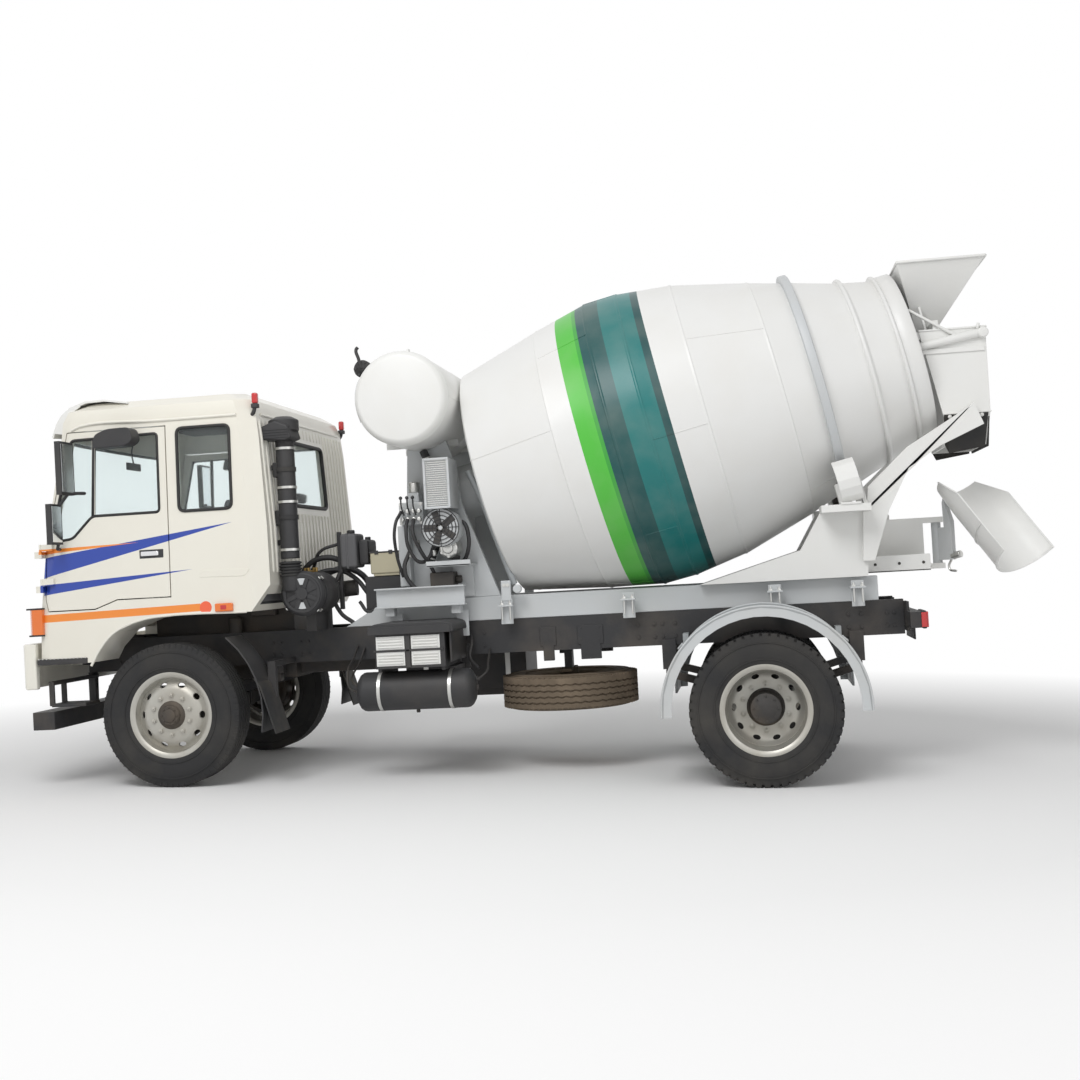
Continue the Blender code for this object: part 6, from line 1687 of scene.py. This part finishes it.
quilted_cloth = quilted("quilted seat cloth")
piping_vinyl = worked("seat piping", (0.035, 0.035, 0.037), (0.14, 0.13, 0.12), 0.5, dusty=0.15, bump=0.03, fine=200.0)
for sign, side in ((1.0, "left"), (-1.0, "right")):
    x = sorted((sign * 0.440, sign * 0.900))
    cushion = pad("seat_cushion_" + side, x, (-0.150, 0.330), (1.500, 1.640), 0.018)
    lean = math.degrees(math.atan2(0.100, 0.560))
    back = pad("seat_back_" + side, x, (0.325, 0.430), (1.600, 2.090), 0.014, lean=lean, pivot=(0.330, 1.640))
    head_x = sorted((sign * 0.550, sign * 0.790))
    head = pad("seat_headrest_" + side, head_x, (0.335, 0.420), (2.095, 2.195), 0.012, lean=lean, pivot=(0.330, 1.640))
    for piece, full in ((cushion, 0.7), (back, 0.7), (head, 0.85)):
        settle(piece, "cab", quilted_cloth)
    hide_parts("seat_" + side)
    base = [bar("seat_pan", sorted((sign * 0.460, sign * 0.880)), (-0.120, 0.400), (1.480, 1.515), 0.010),
            bar("seat_riser", sorted((sign * 0.500, sign * 0.840)), (-0.080, 0.360), (1.300, 1.485), 0.012),
            bar("seat_foot", sorted((sign * 0.470, sign * 0.870)), (-0.110, 0.420), (1.286, 1.304), 0.004),
            bar("back_frame", sorted((sign * 0.470, sign * 0.870)), (0.420, 0.448), (1.520, 1.980), 0.010)]
    turned(base[-1], (0.0, 0.330, 1.640), (1, 0, 0), -lean)
    base.append(tube("slider", [(sign * 0.520, -0.130, 1.495), (sign * 0.520, -0.165, 1.500), (sign * 0.700, -0.170, 1.500), (sign * 0.820, -0.165, 1.500), (sign * 0.820, -0.130, 1.495)], 0.007, 8))
    placed("seat_base_" + side, "cab", black_plastic, base)
    piping = [tube("piping", [(sign * 0.452, -0.140, 1.634), (sign * 0.888, -0.140, 1.634), (sign * 0.888, 0.310, 1.634), (sign * 0.452, 0.310, 1.634), (sign * 0.452, -0.140, 1.634)], 0.004, 6, smooth=False)]
    placed("seat_piping_" + side, "cab", piping_vinyl, piping)
print("seats finished")

# %% [markdown]
# ## Dashboard and lining
# The dash has a binnacle, vents, a shelf and a glove box; the walls inside are
# lined in dark grey, partly a trim colour and partly painted shade, so that the cab reads dark through the glass.

# %% Dashboard, column and lining
binnacle = pushed("binnacle", rounded(((-0.840, 1.690), (-0.800, 1.790), (-0.400, 1.790), (-0.360, 1.690)), 0.030, 4), "Y", -0.720, -0.500)
broken_edges(binnacle, 0.014, segments=3)
dash = [binnacle, bar("shelf", (-0.300, 0.930), (-0.790, -0.520), (1.698, 1.724), 0.010), bar("stack", (-0.200, 0.130), (-0.560, -0.425), (1.500, 1.705), 0.018),
        bar("knee", (-0.930, 0.930), (-0.800, -0.500), (1.500, 1.540), 0.012)]
dash += [sausage("column", (-0.600, -0.520, 1.712), (-0.600, -0.570, 1.600), 0.052, 0.2),
         tube("stalk", [(-0.600, -0.500, 1.755), (-0.700, -0.490, 1.768), (-0.775, -0.480, 1.785)], 0.007, 8),
         tube("stalk", [(-0.600, -0.500, 1.755), (-0.500, -0.490, 1.768), (-0.425, -0.480, 1.785)], 0.007, 8)]
placed("dash_top", "cab", black_plastic, dash)
vents = []
for x in (-0.880, -0.260, 0.060, 0.800):
    vents.append(bar("vent", (x - 0.050, x + 0.050), (-0.466, -0.452), (1.600, 1.670), 0.006))
    vents += [bar("slat", (x - 0.042, x + 0.042), (-0.454, -0.446), (1.610 + 0.013 * k, 1.614 + 0.013 * k), 0.001) for k in range(5)]
vents += [bar("glove_box", (0.300, 0.740), (-0.466, -0.448), (1.530, 1.670), 0.008), bar("latch", (0.490, 0.550), (-0.450, -0.438), (1.640, 1.656), 0.003),
          bar("cluster", (-0.780, -0.420), (-0.505, -0.494), (1.705, 1.772), 0.006)]
vents += [spun("dial", [(0.0, 0.0), (0.0, 0.030), (0.006, 0.030), (0.006, 0.026), (0.003, 0.024), (0.003, 0.0)], (x, -0.496, 1.739), (0, 1, 0), 28) for x in (-0.690, -0.600, -0.510)]
placed("dash_details", "cab", trim_grey, vents)
# The door linings' dark grey is partly trim colour and partly painted shade for the inside of the cab.
lining = []
for sign in (-1.0, 1.0):
    x = sorted((sign * 1.050, sign * 1.072))
    lining.append(bar("door_card", sorted((sign * 1.086, sign * 1.098)), (-0.780, 0.050), (1.420, 1.800), 0.006))
    lining.append(bar("arm_rest", sorted((sign * 1.040, sign * 1.090)), (-0.420, -0.020), (1.640, 1.690), 0.014))
    lining.append(bar("door_pull", sorted((sign * 1.050, sign * 1.090)), (-0.200, -0.080), (1.740, 1.770), 0.008))
    lining.append(tube("winder", [(sign * 1.084, -0.300, 1.560), (sign * 1.050, -0.300, 1.560), (sign * 1.046, -0.240, 1.540), (sign * 1.020, -0.235, 1.540)], 0.007, 8))
door_lining = {1.0: [], -1.0: []}
for k, piece in enumerate(lining):
    door_lining[-1.0 if k < len(lining) // 2 else 1.0].append(piece)
for sign, side in ((1.0, "left"), (-1.0, "right")):
    placed("door_lining_" + side, "door_" + side, trim_grey, door_lining[sign])
# The wall, roof and floor linings' dark grey is partly trim colour and partly painted shade for the inside of the cab.
walls = [bar("floor_mat", (-1.040, -0.200), (-0.780, 0.700), (1.281, 1.290), 0.003), bar("floor_mat", (0.200, 1.040), (-0.780, 0.700), (1.281, 1.290), 0.003),
         bar("roof_lining", (-0.950, 0.950), (-0.560, 0.560), (2.748, 2.760), 0.004), bar("rear_lining", (-1.020, 1.020), (0.700, 0.712), (1.300, 1.960), 0.006),
         bar("bunk", (-0.980, 0.980), (0.560, 0.700), (1.290, 1.500), 0.020)]
for sign in (-1.0, 1.0):
    walls.append(bar("side_lining", sorted((sign * 1.078, sign * 1.090)), (0.130, 0.690), (1.300, 1.940), 0.006))
    walls.append(bar("pillar_lining", sorted((sign * 1.055, sign * 1.068)), (0.080, 0.150), (1.980, 2.600), 0.006))
placed("cab_lining", "cab", trim_grey, walls)
inner_mirror = [bar("mirror", (-0.120, 0.120), (-0.700, -0.680), (2.400, 2.460), 0.008), tube("stalk", [(0.0, -0.690, 2.460), (0.0, -0.700, 2.540), (0.0, -0.690, 2.600)], 0.006, 8),
                tube("gear_lever", [(-0.150, -0.120, 1.400), (-0.160, -0.140, 1.560), (-0.200, -0.100, 1.720)], 0.010, 10),
                spun("gear_knob", [(-0.030, 0.0), (-0.024, 0.018), (0.0, 0.028), (0.020, 0.020), (0.028, 0.0)], (-0.202, -0.098, 1.735), (0, 0, 1), 20)]
placed("cab_controls", "cab", black_plastic, inner_mirror, shade=45)
print("dashboard and lining finished")

# %% [markdown]
# ## The front face
# Below the windscreen are a dark grille of plain bars, twin headlamps in the
# bumper, and wipers.

# %% Grille, headlamps, wipers
grille = []
for z in [1.180 + 0.052 * k for k in range(6)]:
    for x0, x1 in ((-0.840, 0.0), (0.0, 0.840)):
        a, b = (front_skin(x0, z), front_skin(x1, z))
        points = [(x0, a - 0.004), (x1, b - 0.004), (x1, b - 0.016), (x0, a - 0.016)]
        grille.append(pushed("grille_bar", points, "Z", z, z + 0.030))
# A dark panel behind the bars is painted shade: it stands for the shaded opening behind the grille.
painted_shade_panels = []
for x0, x1 in ((-0.850, 0.0), (0.0, 0.850)):
    a, b = (front_skin(x0, 1.33), front_skin(x1, 1.33))
    painted_shade_panels.append(pushed("painted_shade_panels", [(x0, a + 0.006), (x1, b + 0.006), (x1, b - 0.005), (x0, a - 0.005)], "Z", 1.165, 1.480))
placed("grille_painted_shade_panel", "cab", seal, painted_shade_panels)
placed("front_grille", "cab", black_plastic, grille)
glasses, surrounds = [], []
for sign in (-1.0, 1.0):
    for x in (0.740, 0.900):
        at = (sign * x, -1.120, 0.920)
        surrounds.append(spun("ring", [(-0.012, 0.060), (-0.002, 0.072), (0.010, 0.072), (0.010, 0.060)], at, (0, 1, 0), 40, True))
        glasses.append(spun("glass", [(-0.0118, 0.0), (-0.0114, 0.030), (-0.0108, 0.054), (0.004, 0.061), (0.010, 0.061), (0.010, 0.0)], at, (0, 1, 0), 40))
    surrounds.append(bar("lamp_panel", sorted((sign * 0.650, sign * 0.990)), (-1.1303, -1.120), (0.836, 1.004), 0.0002))
placed("headlamp_surrounds", "root", black_plastic, surrounds, shade=40)
placed("headlamp_glasses", "root", clear_lens, glasses, shade=50)
ends = [bar("bumper_step", (-0.400, 0.400), (-1.133, -1.126), (0.800, 0.820), 0.002), bar("plate", (-0.260, 0.260), (-1.133, -1.127), (0.850, 0.960), 0.002)]
placed("bumper_dressing", "root", black_plastic, ends)
wipers = []
for x in (-0.560, 0.080):
    base = (x, front_skin(x, 1.585) - 0.006, 1.585)
    tip = (x + 0.500, front_skin(x + 0.500, 1.720) - 0.010, 1.720)
    wipers.append(tube("wiper_arm", [base, (x + 0.25, front_skin(x + 0.25, 1.66) - 0.016, 1.66), tip], 0.006, 8))
    wipers.append(tube("wiper_blade", [(x + 0.22, front_skin(x + 0.22, 1.64) - 0.008, 1.625), (x + 0.72, front_skin(min(x + 0.72, 0.9), 1.82) - 0.008, 1.815)], 0.005, 6))
placed("wipers", "cab", black_plastic, wipers, shade=50)
print("front face finished")

# %% [markdown]
# ## Floor, light and camera
# A plain pale floor with a soft shadow, one broad sun-like lamp and a pale sky.
# The camera stands left of the truck, a little behind its middle, at eye height.

# %% Stage


def any_view(tree, path):
    """One for what the camera sees, straight, in a mirror or through glass."""
    seen = path.outputs["Is Camera Ray"]
    for ray in ("Is Transmission Ray", "Is Glossy Ray"):
        either = tree.nodes.new("ShaderNodeMath")
        either.operation = "MAXIMUM"
        tree.links.new(seen, either.inputs[0])
        tree.links.new(path.outputs[ray], either.inputs[1])
        seen = either.outputs[0]
    return seen


deselect()
bpy.ops.mesh.primitive_plane_add(size=80.0, location=(0.0, 0.0, -0.002))
floor = bpy.context.object
floor.name = "floor"
floor_paint = bpy.data.materials.new("pale floor")
floor_paint.use_nodes = True
tree = floor_paint.node_tree
shader = tree.nodes["Principled BSDF"]
shader.inputs["Base Color"].default_value = (0.92, 0.92, 0.92, 1.0)
shader.inputs["Roughness"].default_value = 0.9
FLOOR_FADE = (4.5, 9.0)        # where the floor begins and ends to fade into the white surround
glow = tree.nodes.new("ShaderNodeEmission")
fade = tree.nodes.new("ShaderNodeMixShader")
place = tree.nodes.new("ShaderNodeTexCoord")
reach = tree.nodes.new("ShaderNodeVectorMath")
reach.operation = "LENGTH"
step = tree.nodes.new("ShaderNodeMapRange")
step.inputs["From Min"].default_value, step.inputs["From Max"].default_value = FLOOR_FADE
seen = tree.nodes.new("ShaderNodeLightPath")
gate = tree.nodes.new("ShaderNodeMath")
gate.operation = "MULTIPLY"
tree.links.new(place.outputs["Object"], reach.inputs[0])
tree.links.new(reach.outputs["Value"], step.inputs["Value"])
tree.links.new(step.outputs[0], gate.inputs[0])
tree.links.new(any_view(tree, seen), gate.inputs[1])
tree.links.new(gate.outputs[0], fade.inputs[0])
tree.links.new(shader.outputs[0], fade.inputs[1])
tree.links.new(glow.outputs[0], fade.inputs[2])
tree.links.new(fade.outputs[0], tree.nodes["Material Output"].inputs["Surface"])
floor.data.materials.append(floor_paint)

world = bpy.data.worlds.new("studio")
bpy.context.scene.world = world
world.use_nodes = True
tree = world.node_tree
sky = tree.nodes["Background"]
sky.inputs["Color"].default_value = (1.0, 1.0, 1.0, 1.0)
path = tree.nodes.new("ShaderNodeLightPath")
level_of = tree.nodes.new("ShaderNodeMapRange")
level_of.inputs["To Min"].default_value = 0.50
level_of.inputs["To Max"].default_value = 1.0
tree.links.new(any_view(tree, path), level_of.inputs["Value"])
tree.links.new(level_of.outputs[0], sky.inputs["Strength"])

for name, place, aim, power, size in (("key", (8.0, -2.0, 9.0), (0.0, 0.0, 1.5), 560.0, 5.0),
                                      ("fill", (8.0, 9.0, 5.0), (0.0, 0.5, 1.5), 120.0, 6.0)):
    lamp = bpy.data.lights.new(name, "AREA")
    lamp.energy = power
    lamp.size = size
    holder = bpy.data.objects.new(name, lamp)
    bpy.context.scene.collection.objects.link(holder)
    holder.location = place
    holder.rotation_euler = (Vector(aim) - Vector(place)).to_track_quat("-Z", "Y").to_euler()

camera = bpy.data.objects.new("camera", bpy.data.cameras.new("camera"))
bpy.context.scene.collection.objects.link(camera)
yaw, pitch, roll = math.radians(8.638), math.radians(0.971), math.radians(-1.503)
look = Vector((-math.cos(yaw) * math.cos(pitch), -math.sin(yaw) * math.cos(pitch), math.sin(pitch)))
right = look.cross(Vector((0.0, 0.0, 1.0))).normalized()
up = right.cross(look)
turned_right = right * math.cos(roll) + up * math.sin(roll)
turned_up = up * math.cos(roll) - right * math.sin(roll)
facing = Matrix((turned_right, turned_up, -look)).transposed().to_4x4()
camera.matrix_world = Matrix.Translation((10.646, 4.177 - ORIGIN_BEHIND_AXLE, 1.541)) @ facing
camera.data.sensor_width = 36.0
camera.data.lens = 46.48
bpy.context.scene.camera = camera
bpy.context.scene.view_settings.view_transform = "Standard"
